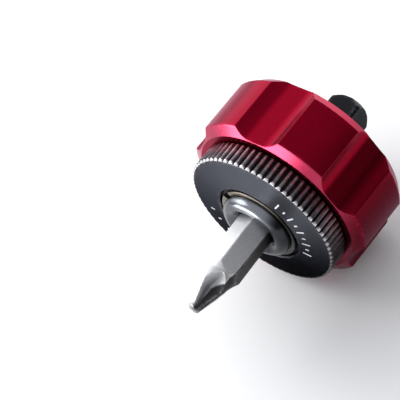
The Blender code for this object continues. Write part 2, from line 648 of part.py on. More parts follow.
def make_drive_ball():
    """Sprung ball in one flat of the square, which holds a socket on it."""
    place = Vector(DRIVE_BALL_DIRECTION) * DRIVE_BALL_OUT
    place.z = DRIVE_BALL_LEVEL
    add_part("drive_ball", ball_mesh(DRIVE_BALL_RADIUS), MACHINED_STEEL, place)
    start = DRIVE_HOLE_FLOOR + SEAT_GAP
    length = DRIVE_BALL_OUT - DRIVE_BALL_RADIUS - SEAT_GAP - start
    spring = spring_mesh("drive_ball_spring", length, DRIVE_SPRING_TURNS)
    foot = Vector(DRIVE_BALL_DIRECTION) * start
    foot.z = DRIVE_BALL_LEVEL
    spring.transform(along(DRIVE_BALL_DIRECTION, foot))
    add_part("drive_ball_spring", spring, SPRING_STEEL)


def make_gear():
    """Ratchet wheel on the spindle's hexagon seat."""
    teeth = toothed_outline(GEAR_TEETH, GEAR_ROOT_RADIUS, GEAR_TIP_RADIUS, GEAR_TOOTH_LAND, MIRROR_LINE)
    bore = regular_polygon(6, GEAR_BORE_CORNER, BIT_TURN)
    add_part("ratchet_gear", prism_mesh([teeth, bore], GEAR_BACK, GEAR_FRONT), MACHINED_STEEL)


def pawl_outline(side):
    """Outline of an engaged pawl, counted from the pivot: eye, arm, toothed block and ramped nose."""
    pivot = pivot_place(side)
    peg_angle = SELECTOR_RANGE / 2
    pivot_flat = on_circle(PIVOT_CIRCLE, PAWL_PIVOT_ANGLE)
    peg_top = on_circle(PEG_CIRCLE + PEG_RADIUS + RUNNING_GAP, peg_angle)
    nose_inner = hypot(*turned_about(peg_top, pivot_flat, -PAWL_LIFT))
    nose_ramp_end = nose_inner + PAWL_NOSE_RAMP
    nose_outer = nose_ramp_end + PAWL_NOSE_THICKNESS
    arm_inner = PIVOT_CIRCLE - PAWL_EYE_RADIUS
    polar = [
        (arm_inner, PAWL_PIVOT_ANGLE),
        (arm_inner, PAWL_TOOTH_END),
        (GEAR_ROOT_RADIUS, PAWL_TOOTH_END),
        (GEAR_ROOT_RADIUS, PAWL_TOOTH_START),
        (nose_inner, PAWL_TOOTH_START),
        (nose_inner, peg_angle),
        (nose_ramp_end, PAWL_NOSE_ANGLE),
        (nose_outer, PAWL_NOSE_ANGLE),
        (nose_outer, peg_angle),
        (nose_outer + PAWL_NOSE_RAMP / 2, PAWL_SPRING_ANGLE),
        (PIVOT_CIRCLE + PAWL_EYE_RADIUS, PAWL_PIVOT_ANGLE),
    ]
    points = [on_circle(radius, mirror_angle(side * angle)) for radius, angle in polar]
    outward = mirror_angle(side * PAWL_PIVOT_ANGLE)
    points += arc(PAWL_EYE_RADIUS, outward, outward + side * pi, SMALL_ROUND // 2, pivot)[1:-1]
    spring_seat = nose_outer + PAWL_NOSE_RAMP / 2 - PAWL_SEAT_DEPTH
    return [(x - pivot[0], y - pivot[1]) for x, y in points], spring_seat


def make_pawl(name, side, lifted):
    """One pawl on its pin, with the spring that presses it into the gear."""
    pivot = pivot_place(side)
    lift = side * PAWL_LIFT if lifted else 0.0
    outline, spring_seat = pawl_outline(side)
    eye = circle(PAWL_BORE_RADIUS, SMALL_ROUND)
    mesh = prism_mesh([outline, eye], PAWL_BACK, PAWL_FRONT)
    pawl = add_part(f"pawl_{name}", mesh, TOOL_STEEL, (*pivot, 0.0), lift)
    from_axis = Matrix.Translation((-pivot[0], -pivot[1], 0.0))
    teeth = toothed_outline(GEAR_TEETH, GEAR_ROOT_RADIUS + SEAT_GAP, GEAR_TIP_RADIUS + SEAT_GAP,
                            GEAR_TOOTH_LAND, MIRROR_LINE)
    gear_cutter = prism_mesh([teeth], PAWL_BACK - CUT_MARGIN, PAWL_FRONT + CUT_MARGIN)
    cut(pawl, gear_cutter, from_axis, pawl)
    spring_direction = mirror_angle(side * PAWL_SPRING_ANGLE)
    outward = (cos(spring_direction), sin(spring_direction), 0.0)
    seat_hole = hole_mesh(SPRING_OUTER_RADIUS + RUNNING_GAP, spring_seat, SPRING_WALL_RADIUS)
    cut(pawl, seat_hole, from_axis @ along(outward, (0.0, 0.0, PAWL_MIDDLE)), pawl)

    pin = pin_profile(PAWL_PIN_RADIUS, GRIP_BACK_WALL - PIN_INSERT, PLATE_FRONT - SEAT_GAP, SEAT_GAP)
    add_part(f"pawl_pin_{name}", turned_mesh(pin, SMALL_ROUND, False), MACHINED_STEEL, (*pivot, 0.0))

    seat = on_circle(spring_seat + SEAT_GAP, spring_direction)
    foot = Vector(turned_about(seat, pivot, lift))
    seat_normal = Vector(on_circle(1.0, spring_direction + lift))
    lean = (seat_normal + foot.normalized()).normalized()
    reach = foot.dot(lean)
    wall = SPRING_WALL_RADIUS - SEAT_GAP
    length = sqrt(reach ** 2 + wall ** 2 - foot.length_squared) - reach
    spring = spring_mesh(f"pawl_spring_{name}", length, PAWL_SPRING_TURNS)
    spring.transform(along((*lean, 0.0), (*foot, PAWL_MIDDLE)))
    add_part(f"pawl_spring_{name}", spring, SPRING_STEEL)


def make_cover_plate():
    """Plate over the ratchet pocket, with its screws, the peg's slot and the detent ball's hole."""
    slot_half = PEG_RADIUS + RUNNING_GAP
    reach = SELECTOR_RANGE / 2
    right = mirror_angle(-reach)
    left = mirror_angle(reach)
    slot = arc(PEG_CIRCLE + slot_half, right, left, SMALL_ROUND // 2)
    slot += arc(slot_half, left, left + pi, SMALL_ROUND // 2, on_circle(PEG_CIRCLE, left))[1:-1]
    slot += arc(PEG_CIRCLE - slot_half, left, right, SMALL_ROUND // 2)
    slot += arc(slot_half, right + pi, right + tau, SMALL_ROUND // 2, on_circle(PEG_CIRCLE, right))[1:-1]
    rim = circle(COUNTERBORE_RADIUS - SEAT_GAP, LARGE_ROUND)
    bore = circle(JOURNAL_RADIUS + RUNNING_GAP, ROUND)
    loops = [rim, bore, slot]
    for side in (1, -1):
        loops.append(circle(PAWL_PIN_RADIUS + SEAT_GAP, SMALL_ROUND, pivot_place(side)))
    detent = on_circle(DETENT_CIRCLE, mirror_angle(DETENT_ANGLE))
    loops.append(circle(DETENT_BALL_RADIUS + RUNNING_GAP, SMALL_ROUND, detent))
    plate = add_part("cover_plate", prism_mesh(loops, PLATE_BACK, PLATE_FRONT), MACHINED_STEEL)
    head_top = PLATE_FRONT - SEAT_GAP
    for number, angle in enumerate(SCREW_ANGLES, 1):
        place = (*on_circle(SCREW_CIRCLE, mirror_angle(angle)), 0.0)
        screw_profile = [
            (0.0, head_top),
            (SCREW_HEAD_RADIUS, head_top),
            (SCREW_SHANK_RADIUS, head_top - SCREW_HEAD_DEPTH),
            (SCREW_SHANK_RADIUS, SCREW_END),
            (0.0, SCREW_END),
        ]
        screw = add_part(f"cover_screw_{number}", turned_mesh(screw_profile, SMALL_ROUND, False),
                         MACHINED_STEEL, place)
        recess = regular_polygon(6, SCREW_SOCKET_ACROSS_FLATS / 2 / cos(pi / 6), 0.0)
        drive = prism_mesh([recess], head_top - SCREW_SOCKET_DEPTH, head_top + CUT_MARGIN)
        cut(screw, drive, Matrix.Translation(place))
        sink_profile = [
            (0.0, PLATE_FRONT + CUT_MARGIN),
            (SCREW_HEAD_RADIUS + 2 * SEAT_GAP, PLATE_FRONT + CUT_MARGIN),
            (SCREW_HEAD_RADIUS + 2 * SEAT_GAP, PLATE_FRONT),
            (SCREW_SHANK_RADIUS + SEAT_GAP, head_top - SCREW_HEAD_DEPTH),
            (SCREW_SHANK_RADIUS + SEAT_GAP, PLATE_BACK - CUT_MARGIN),
            (0.0, PLATE_BACK - CUT_MARGIN),
        ]
        cut(plate, turned_mesh(sink_profile, SMALL_ROUND, False), Matrix.Translation(place))


def make_detent():
    """Sprung ball that holds the selector ring at either end of its travel."""
    detent = on_circle(DETENT_CIRCLE, mirror_angle(DETENT_ANGLE))
    add_part("detent_ball", ball_mesh(DETENT_BALL_RADIUS), MACHINED_STEEL, (*detent, DETENT_BALL_LEVEL))
    spring = spring_mesh("detent_spring", DETENT_SPRING_LENGTH, DETENT_SPRING_TURNS)
    spring.transform(Matrix.Translation((*detent, DETENT_SPRING_BACK)))
    add_part("detent_spring", spring, SPRING_STEEL)


def detent_groove():
    """Curved track of the detent ball in the back of the selector ring."""
    half = sqrt(DETENT_BALL_RADIUS ** 2 - (DETENT_BALL_RADIUS - DETENT_REACH) ** 2) + RUNNING_GAP
    end = mirror_angle(DETENT_ANGLE)
    start = end - SELECTOR_RANGE
    track = arc(DETENT_CIRCLE + half, start, end, SMALL_ROUND // 2)
    track += arc(half, end, end + pi, SMALL_ROUND // 2, on_circle(DETENT_CIRCLE, end))[1:-1]
    track += arc(DETENT_CIRCLE - half, end, start, SMALL_ROUND // 2)
    track += arc(half, start + pi, start + tau, SMALL_ROUND // 2, on_circle(DETENT_CIRCLE, start))[1:-1]
    return track, half


def make_selector():
    """Knurled reversing ring, with the peg that lifts one pawl or the other."""
    profile = [
        (RING_BORE, RECESS_FLOOR),
        (RECESS_RADIUS, RECESS_FLOOR),
        (RECESS_RADIUS, RING_CROWN - RING_RECESS_CHAMFER),
        (RECESS_RADIUS + RING_RECESS_CHAMFER, RING_CROWN),
        (RING_RADIUS - RING_RIM_CHAMFER, RING_FRONT),
        (RING_RADIUS, RING_FRONT - RING_RIM_CHAMFER),
        (RING_RADIUS, RING_BACK),
        (HUB_RADIUS, RING_BACK),
        (HUB_RADIUS, HUB_BACK),
        (RING_BORE, HUB_BACK),
    ]
    ring = add_part("selector_ring", turned_mesh(profile, LARGE_ROUND), BLACK_ANODISED)
    knurl = toothed_outline(KNURL_TEETH, RING_RADIUS - KNURL_DEPTH, RING_RADIUS, KNURL_LAND)
    cut(ring, prism_mesh([knurl], HUB_BACK - CUT_MARGIN, RING_CROWN + CUT_MARGIN), operation="INTERSECT")
    peg_place = (*on_circle(PEG_CIRCLE, mirror_angle(-SELECTOR_RANGE / 2)), 0.0)
    socket = hole_mesh(PEG_RADIUS + SEAT_GAP, HUB_BACK - CUT_MARGIN, HUB_BACK + PEG_INSERT + SEAT_GAP)
    cut(ring, socket, Matrix.Translation(peg_place))
    track, half = detent_groove()
    groove_floor = HUB_BACK + DETENT_REACH + RUNNING_GAP
    cut(ring, prism_mesh([track], HUB_BACK - CUT_MARGIN, groove_floor))
    for turn in (0.0, -SELECTOR_RANGE):
        place = on_circle(DETENT_CIRCLE, mirror_angle(DETENT_ANGLE) + turn)
        pocket = hole_mesh(half / 2, groove_floor - SEAT_GAP, groove_floor + DETENT_POCKET_DEPTH)
        cut(ring, pocket, Matrix.Translation((*place, 0.0)))
    peg = pin_profile(PEG_RADIUS, PAWL_BACK + RUNNING_GAP, HUB_BACK + PEG_INSERT, SEAT_GAP)
    add_part("cam_peg", turned_mesh(peg, SMALL_ROUND, False), MACHINED_STEEL, peg_place)


def groove_mesh():
    """One groove of the cross point: straight from the tip, then swept out of the neck."""
    straight_end = BIT_FRONT - POINT_GROOVE_RUN
    centre = (POINT_CORE_RADIUS + POINT_GROOVE_SWEEP, straight_end)
    bottom = [(POINT_CORE_RADIUS, BIT_FRONT + CUT_MARGIN)]
    bottom += arc(POINT_GROOVE_SWEEP, pi, pi + POINT_GROOVE_LIFT, CORNER_STEPS, centre)
    reach = BIT_CORNER + CUT_MARGIN
    rows = []
    for radius, level in bottom:
        half_width = (reach - radius) * tan(POINT_GROOVE_ANGLE / 2)
        rows.append([(radius, 0.0, level), (reach, half_width, level), (reach, -half_width, level)])
    return skin_mesh(rows)


def make_bit():
    """Double-ended bit: cross point outside, slotted blade inside, hexagon between."""
    flats_front = BIT_FRONT - POINT_LENGTH
    flats_back = BIT_BACK + BLADE_LENGTH
    blade_radius = BIT_CORNER - BLADE_NARROWING
    profile = [
        (0.0, BIT_FRONT),
        (POINT_NOSE_RADIUS, BIT_FRONT),
        (POINT_NECK_RADIUS, BIT_FRONT - POINT_CONE_LENGTH),
        (POINT_NECK_RADIUS, flats_front + POINT_SHOULDER),
        (BIT_CORNER, flats_front),
        (BIT_CORNER, flats_back),
        (blade_radius, flats_back - BLADE_NARROWING),
        (blade_radius, BIT_BACK),
        (0.0, BIT_BACK),
    ]
    bit = add_part("hex_bit", turned_mesh(profile, ROUND, False), TOOL_STEEL)
    around = circle(BIT_CORNER + CUT_MARGIN, ROUND)
    hexagon = regular_polygon(6, BIT_CORNER, BIT_TURN)
    cut(bit, prism_mesh([around, hexagon], BIT_BACK - CUT_MARGIN, BIT_FRONT + CUT_MARGIN))
    for wing in range(4):
        cut(bit, groove_mesh(), Matrix.Rotation(BIT_TURN + wing * pi / 2, 4, "Z"))
    outside = BIT_CORNER + CUT_MARGIN
    side_cut = [
        (BLADE_THICKNESS / 2, BIT_BACK - CUT_MARGIN),
        (BLADE_THICKNESS / 2, BIT_BACK + BLADE_EDGE_LENGTH),
        (outside, flats_back),
        (outside, BIT_BACK - CUT_MARGIN),
    ]
    stand_up = Matrix.Rotation(pi / 2, 4, "X")
    for side in (0.0, pi):
        turn = Matrix.Rotation(BIT_TURN + side, 4, "Z")
        cut(bit, prism_mesh([side_cut], -outside, outside), turn @ stand_up)


make_grip()
make_rear_bearing()
make_spindle()
make_drive_ball()
make_gear()
make_pawl("forward", 1, lifted=False)
make_pawl("reverse", -1, lifted=True)
make_cover_plate()
make_detent()
make_selector()
make_bit()

print(f"grip {2 * GRIP_RADIUS / MM:.1f} mm across its lands, {GRIP_LENGTH / MM:.1f} mm long")
print(f"selector ring {2 * RING_RADIUS / MM:.1f} mm across")
print(f"whole tool {(BIT_FRONT - DRIVE_BACK) / MM:.1f} mm long")
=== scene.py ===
# %% [markdown]
# # A palm ratchet screwdriver, dressed for its picture
# The working model is already made. Here it is loaded as a fixed frame, and the pieces that can be seen get
# a finer skin and a worked finish. Each new piece is built where the frame says, and rides on one of its
# bodies.

# %% Load the working model
import json
from math import atan2, cos, hypot, pi, radians, sin, sqrt, tan, tau

import bmesh
import bpy
import numpy as np
from mathutils import Matrix, Vector, kdtree

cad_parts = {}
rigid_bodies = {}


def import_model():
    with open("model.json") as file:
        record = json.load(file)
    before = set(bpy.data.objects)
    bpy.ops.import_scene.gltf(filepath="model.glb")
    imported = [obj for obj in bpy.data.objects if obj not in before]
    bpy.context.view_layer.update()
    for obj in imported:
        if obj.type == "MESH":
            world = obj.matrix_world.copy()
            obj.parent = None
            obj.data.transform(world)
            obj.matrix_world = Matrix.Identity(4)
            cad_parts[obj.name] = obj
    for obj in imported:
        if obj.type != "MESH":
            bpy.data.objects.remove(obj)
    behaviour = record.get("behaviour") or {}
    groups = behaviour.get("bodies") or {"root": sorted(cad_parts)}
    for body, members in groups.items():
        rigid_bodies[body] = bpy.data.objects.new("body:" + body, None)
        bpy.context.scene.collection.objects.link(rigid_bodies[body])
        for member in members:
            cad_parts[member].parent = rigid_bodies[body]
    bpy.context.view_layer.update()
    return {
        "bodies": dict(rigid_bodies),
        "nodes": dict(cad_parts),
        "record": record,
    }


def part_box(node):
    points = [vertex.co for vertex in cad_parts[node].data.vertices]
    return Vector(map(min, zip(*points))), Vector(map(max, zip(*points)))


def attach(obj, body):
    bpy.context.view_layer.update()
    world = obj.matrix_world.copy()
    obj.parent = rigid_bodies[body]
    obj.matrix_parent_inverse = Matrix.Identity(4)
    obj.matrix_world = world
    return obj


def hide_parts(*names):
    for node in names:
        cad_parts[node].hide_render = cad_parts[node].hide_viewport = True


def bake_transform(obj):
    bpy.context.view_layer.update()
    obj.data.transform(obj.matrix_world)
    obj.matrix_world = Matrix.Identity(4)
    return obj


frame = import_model()
MM = 0.001
print("bodies:", ", ".join(sorted(frame["bodies"])))

# %% [markdown]
# ## The tool's own axis
# Most pieces were turned on a lathe, so the lathe's terms describe them best: how far out from the axis, at
# what angle, and how far forward from the grip's back face, in millimetres. One matrix lays them down.

# %% Find the axis and the levels
joints = {joint["name"]: joint for joint in frame["record"]["behaviour"]["joints"]}
AXIS_HEIGHT = joints["spindle_turn"]["pos_m"][2]
BACK_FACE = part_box("grip_body")[1].y
LAY_DOWN = Matrix.Translation((0.0, BACK_FACE, AXIS_HEIGHT)) @ Matrix.Rotation(pi / 2, 4, "X")


def levels(node):
    """Back and front of a node, forwards from the grip's back face, in millimetres."""
    low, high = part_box(node)
    return (BACK_FACE - high.y) / MM, (BACK_FACE - low.y) / MM


def outer_radius(node):
    """Half of a node's width across the axis, in millimetres."""
    low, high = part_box(node)
    return (high.x - low.x) / 2 / MM


GRIP_LENGTH = levels("grip_body")[1]
GRIP_RADIUS = outer_radius("grip_body")
print(f"axis {AXIS_HEIGHT / MM:.2f} mm up, grip {2 * GRIP_RADIUS:.1f} by {GRIP_LENGTH:.1f} mm")

# %% [markdown]
# ## Rows of points, and a skin over them
# A mill cuts flutes, flats and sockets into a turned piece. Instead of cutting, each piece here is rows of
# points round the axis, whose distance from it may change with the angle. A skin over the rows gives clean
# quads, with edges where they should be.

# %% Skin helpers
SHARP = radians(28)
SAME_POINT = 0.0004 * MM


def finish_mesh(mesh, lay=True):
    """Close the seams, turn the faces outwards, and shade smooth with crisp edges."""
    if mesh.has_custom_normals:
        mesh.attributes.remove(mesh.attributes["custom_normal"])
    work = bmesh.new()
    work.from_mesh(mesh)
    bmesh.ops.remove_doubles(work, verts=work.verts, dist=SAME_POINT)
    bmesh.ops.dissolve_degenerate(work, edges=work.edges, dist=SAME_POINT)
    bmesh.ops.recalc_face_normals(work, faces=work.faces)
    for face in work.faces:
        face.smooth = True
    for edge in work.edges:
        edge.smooth = len(edge.link_faces) == 2 and edge.calc_face_angle() < SHARP
    work.to_mesh(mesh)
    work.free()
    if lay:
        mesh.transform(LAY_DOWN)
    return mesh


def skin(name, rows, loop=False, caps=False):
    """Quads between closed rows of points. loop joins last to first, and caps closes both ends."""
    rows = np.asarray(rows, float) * MM
    count, around = rows.shape[:2]
    faces = []
    for row in range(count if loop else count - 1):
        here, there = row * around, (row + 1) % count * around
        for side in range(around):
            after = (side + 1) % around
            faces.append((here + side, here + after, there + after, there + side))
    if caps:
        faces.append(tuple(range(around)))
        faces.append(tuple(range((count - 1) * around, count * around)))
    mesh = bpy.data.meshes.new(name)
    mesh.from_pydata(rows.reshape(-1, 3).tolist(), [], faces)
    return mesh


def full_turn(steps):
    """Even angles once round the axis."""
    return np.linspace(0.0, tau, steps, endpoint=False)


def row_at(radius, level, angles):
    """One row: a radius and a level, each the same all round or one for each angle."""
    radius, level = (np.broadcast_to(number, angles.shape) for number in (radius, level))
    return np.c_[radius * np.cos(angles), radius * np.sin(angles), level]


def rows_at(points, angles):
    """One row for each (radius, level) point."""
    return [row_at(radius, level, angles) for radius, level in points]


def new_piece(name, data):
    """An object in the scene for a mesh, a lamp or a camera."""
    piece = bpy.data.objects.new(name, data)
    bpy.context.scene.collection.objects.link(piece)
    return piece


def evaluated_mesh(piece):
    """The mesh that a piece's modifiers make."""
    bpy.context.view_layer.update()
    graph = bpy.context.evaluated_depsgraph_get()
    return bpy.data.meshes.new_from_object(piece.evaluated_get(graph))


print("skins are shaded crisp above", round(SHARP * 180 / pi), "degrees")

# %% [markdown]
# ## Broken edges
# No machined edge is perfectly sharp: a tenth of a millimetre is taken off, and that tiny round catches the
# light. A Bevel modifier struggles where several cuts meet, so the outlines are rounded before they are
# turned.

# %% Rounded outlines
EDGE_STEPS = 4
SUPPORT_GAPS = (0.12, 0.3, 0.8)


def round_corner(before, corner, after, radius, steps=EDGE_STEPS):
    """Points of an arc that replaces the corner between two straight runs."""
    before, corner, after = (np.asarray(point, float) for point in (before, corner, after))
    to_before = (before - corner) / np.linalg.norm(before - corner)
    to_after = (after - corner) / np.linalg.norm(after - corner)
    half = np.arccos(np.clip(to_before @ to_after, -1.0, 1.0)) / 2
    inward = (to_before + to_after) / np.linalg.norm(to_before + to_after)
    centre = corner + inward * radius / sin(half)
    start = corner + to_before * radius / tan(half) - centre
    end = corner + to_after * radius / tan(half) - centre
    first = atan2(start[1], start[0])
    sweep = (atan2(end[1], end[0]) - first + pi) % tau - pi
    angles = first + sweep * np.linspace(0.0, 1.0, steps + 1)
    return [tuple(centre + radius * np.array((cos(angle), sin(angle)))) for angle in angles]


def rounded(corners, closed=True):
    """Outline of (x, y, rounding) corners, with an arc at every corner that has a rounding."""
    points = []
    count = len(corners)
    for index, (x, y, radius) in enumerate(corners):
        if radius and (closed or 0 < index < count - 1):
            before, after = corners[index - 1], corners[(index + 1) % count]
            points += round_corner(before[:2], (x, y), after[:2], radius)
        else:
            points.append((x, y))
    return points


def ring_outline(inner, outer, back, front, edge=0.0):
    """Section of a flat ring, as (radius, level) points with rounded corners."""
    return rounded([(inner, back, edge), (outer, back, edge), (outer, front, edge), (inner, front, edge)])


def between(start, end, shares):
    """Points part of the way from one point to another."""
    return [tuple(low + (high - low) * share for low, high in zip(start, end)) for share in shares]


def supported(section, closed=True):
    """The same section with extra points a little way in from both ends of every long run."""
    points = []
    ends = section[1:] + section[:1] if closed else section[1:]
    for start, end in zip(section, ends):
        length = hypot(end[0] - start[0], end[1] - start[1])
        near = [gap / length for gap in SUPPORT_GAPS if gap < length / 2]
        points += [start] + between(start, end, near + [1 - share for share in reversed(near)])
    return points if closed else points + [section[-1]]


def turned(name, section, steps, lay=True):
    """A section of (radius, level) points turned round the axis."""
    rows = rows_at(supported(section), full_turn(steps))
    return finish_mesh(skin(name, rows, loop=True), lay)


print("edges are rounded in", EDGE_STEPS, "steps")

# %% [markdown]
# ## Where the edges are
# Wear shows first along edges. A shader can't see an edge by itself, so each finished mesh stores a number
# at every point, called edge: 1 on a sharp edge, fading to 0 a fraction of a millimetre away.

# %% Edge attribute
EDGE_TURN = radians(9)


def mark_edges(mesh, fade):
    """Store how near each point lies to an outward edge, with the fade in millimetres."""
    work = bmesh.new()
    work.from_mesh(mesh)
    sharp = set()
    for edge in work.edges:
        if len(edge.link_faces) == 2 and edge.calc_face_angle_signed(0.0) > EDGE_TURN:
            sharp.update(vert.index for vert in edge.verts)
    work.free()
    tree = kdtree.KDTree(len(sharp))
    for index in sharp:
        tree.insert(mesh.vertices[index].co, index)
    tree.balance()
    nearness = [2.0 ** (-tree.find(vert.co)[2] / (fade * MM)) for vert in mesh.vertices]
    mesh.attributes.new("edge", "FLOAT", "POINT").data.foreach_set("value", nearness)
    return mesh


print("edges turn by more than", round(EDGE_TURN * 180 / pi), "degrees")

# %% [markdown]
# ## Grip: the fluted shape
# Six shallow flutes are milled along the grip with a rounded cutter. Each has a narrow floor, wide rounds
# in its corners and short sides up to the lands. It is drawn once, as angles and radii, and repeated.

# %% Outline of the grip
FLUTES = 6
FLUTE_SPAN = radians(30)
FLUTE_DEPTH = 1.75
FLUTE_SLOPE = radians(32)
FLUTE_CORNER = 4.5
FLUTE_EDGE = 0.3
CORNER_STEPS = 14
RIM_STEPS = 6
FLOOR_STEPS = 4
LAND_STEPS = 9
LAND_LEAD = radians(1)
FIRST_FLUTE = pi / 2
SKIN_INSET = 0.03


def grip_outline():
    """Angles and radii of one flute and its half lands, then of all six."""
    radius = GRIP_RADIUS - SKIN_INSET
    floor = radius - FLUTE_DEPTH
    edge = FLUTE_SPAN / 2
    beside = edge + LAND_LEAD
    land = (radius * cos(beside), radius * sin(beside))
    top = (radius * cos(edge), radius * sin(edge))
    bottom = (floor, top[1] - (top[0] - floor) / tan(FLUTE_SLOPE))
    corner = round_corner((floor, 0.0), bottom, top, FLUTE_CORNER, CORNER_STEPS)
    rim = round_corner(bottom, top, land, FLUTE_EDGE, RIM_STEPS)
    wall = supported(corner + rim, closed=False)
    half = [(floor, corner[0][1] * step / FLOOR_STEPS) for step in range(FLOOR_STEPS)]
    period = [(atan2(y, x), hypot(x, y)) for x, y in half + wall]
    land_angles = [period[-1][0] + gap / radius for gap in SUPPORT_GAPS]
    land_angles += list(np.linspace(land_angles[-1], pi / FLUTES, LAND_STEPS)[1:])
    period += [(angle, radius) for angle in land_angles]
    period = sorted(period + [(-angle, distance) for angle, distance in period[1:-1]])
    return np.array([(FIRST_FLUTE + tau * flute / FLUTES + angle, distance)
                     for flute in range(FLUTES) for angle, distance in period]).T


grip_angles, grip_radii = grip_outline()
print(len(grip_angles), "points round the grip")

# %% [markdown]
# ## Grip: from outline to skin
# At each angle the side runs to where it meets the cones of the two chamfers, and then follows them. The
# pocket inside is right in the working model, so a copy of that solid gets its flutes filled, and a Boolean
# keeps what it shares with the fine skin.

# %% Trim the grip
FRONT_CHAMFER = (1.9, 1.05)    # depth, length
BACK_CHAMFER = (1.4, 1.7)
FRONT_EDGE = 0.2
BACK_EDGE = 0.4
CONE_SHARES = (0.1, 0.25, 0.5)
PAST_END = 0.5
BAND_INNER = 15.0
BAND_PROUD = 1.0
BAND_TRIM = 0.02
BAND_STEPS = 96


def grip_profile(reach):
    """Points along the grip where its outline reaches so far, from past one end face to past the other."""
    full = GRIP_RADIUS - SKIN_INSET
    front_slope = FRONT_CHAMFER[0] / FRONT_CHAMFER[1]
    back_slope = BACK_CHAMFER[0] / BACK_CHAMFER[1]
    front = GRIP_LENGTH - FRONT_CHAMFER[1] + (full - reach) / front_slope
    back = BACK_CHAMFER[1] - (full - reach) / back_slope
    first = (full - BACK_CHAMFER[0] - PAST_END * back_slope, -PAST_END)
    last = (full - FRONT_CHAMFER[0] - PAST_END * front_slope, GRIP_LENGTH + PAST_END)
    back_edge = round_corner(first, (reach, back), (reach, front), BACK_EDGE)
    front_edge = round_corner((reach, back), (reach, front), last, FRONT_EDGE)
    side = supported([back_edge[-1], front_edge[0]], closed=False)
    behind = between(back_edge[0], first, CONE_SHARES)[::-1]
    ahead = between(front_edge[-1], last, CONE_SHARES)
    return [first] + behind + back_edge + side[1:-1] + front_edge + ahead + [last]


def boolean(piece, other, operation):
    """Apply an exact Boolean and drop the other object."""
    modifier = piece.modifiers.new("trim", "BOOLEAN")
    modifier.operation = operation
    modifier.solver = "EXACT"
    modifier.object = other
    result = evaluated_mesh(piece)
    piece.modifiers.clear()
    piece.data = result
    bpy.data.objects.remove(other, do_unlink=True)


def node_copy(node, ending):
    """Object with a copy of a working node's mesh, its seams closed."""
    return new_piece(node + ending, finish_mesh(frame["nodes"][node].data.copy(), lay=False))


blank = node_copy("grip_body", "_copy")
band = ring_outline(BAND_INNER, GRIP_RADIUS + BAND_PROUD, BAND_TRIM, GRIP_LENGTH - BAND_TRIM)
boolean(blank, new_piece("band", turned("band", band, BAND_STEPS)), "UNION")
profiles = np.array([grip_profile(reach) for reach in grip_radii])
grip_rows = rows_at(profiles.transpose(1, 2, 0), grip_angles)
grip = new_piece("grip_skin", finish_mesh(skin("grip", grip_rows, caps=True)))
boolean(grip, blank, "INTERSECT")
mark_edges(finish_mesh(grip.data, lay=False), fade=0.12)
print("grip:", len(grip.data.polygons), "faces")

# %% [markdown]
# ## Reversing ring: the turned body
# The ring is turned, with a face that slopes down to the rim, a hub that reaches into the grip and a bore
# for the spindle. The rim is left at the bottom of the knurl, and gets its teeth later.

# %% Turn the ring
RING_STEPS = 288
RUNNING_GAP = 0.2
KNURL_DEPTH = 0.5
FACE_RISE = 0.9
HUB_DEPTH = 2.05
HUB_RADIUS = 13.9
RING_BORE = 7.2
RECESS_SPACE = 0.5
RECESS_DEPTH = 0.95
RECESS_CHAMFER = 0.25
RECESS_EDGE = 0.05
FACE_EDGE = 0.12

hub_back, ring_crown = levels("selector_ring")
RING_RADIUS = outer_radius("selector_ring")
ring_front = ring_crown - FACE_RISE
ring_back = hub_back + HUB_DEPTH + RUNNING_GAP
knurl_root = RING_RADIUS - KNURL_DEPTH
recess_radius = outer_radius("front_snap_ring") + RECESS_SPACE
ring_section = rounded([
    (RING_BORE, ring_crown - RECESS_DEPTH, FACE_EDGE),
    (recess_radius, ring_crown - RECESS_DEPTH, FACE_EDGE),
    (recess_radius, ring_crown - RECESS_CHAMFER, RECESS_EDGE),
    (recess_radius + RECESS_CHAMFER, ring_crown, RECESS_EDGE),
    (knurl_root, ring_front, FACE_EDGE),
    (knurl_root, ring_back, FACE_EDGE),
    (HUB_RADIUS, ring_back, 0),
    (HUB_RADIUS, hub_back, FACE_EDGE),
    (RING_BORE, hub_back, FACE_EDGE),
])
ring_core = new_piece("ring_core", turned("ring_core", ring_section, RING_STEPS, lay=False))
print(f"ring {2 * RING_RADIUS:.1f} mm across, rim from {ring_back:.1f} to {ring_front:.1f} mm")

# %% [markdown]
# ## Node trees from one method
# Geometry Nodes and shaders are both trees of nodes. One small class adds a node from its type, its
# settings and its sockets. Another wraps one output and overloads Python's operators, so that 1 - mask adds
# a Math node.

# %% Tree helpers
def operator(operation, reflected=False):
    """A method for one of Python's operators, which adds a Math node."""
    def method(self, other):
        numbers = (other, self) if reflected else (self, other)
        return self.tree.add("ShaderNodeMath", {"operation": operation}, dict(enumerate(numbers)))
    return method


class Value:
    """One output in a node tree. Python's operators on it add Math nodes."""

    def __init__(self, tree, socket):
        self.tree = tree
        self.socket = socket

    __add__ = __radd__ = operator("ADD")
    __sub__, __rsub__ = operator("SUBTRACT"), operator("SUBTRACT", reflected=True)
    __mul__ = __rmul__ = operator("MULTIPLY")
    __pow__ = operator("POWER")


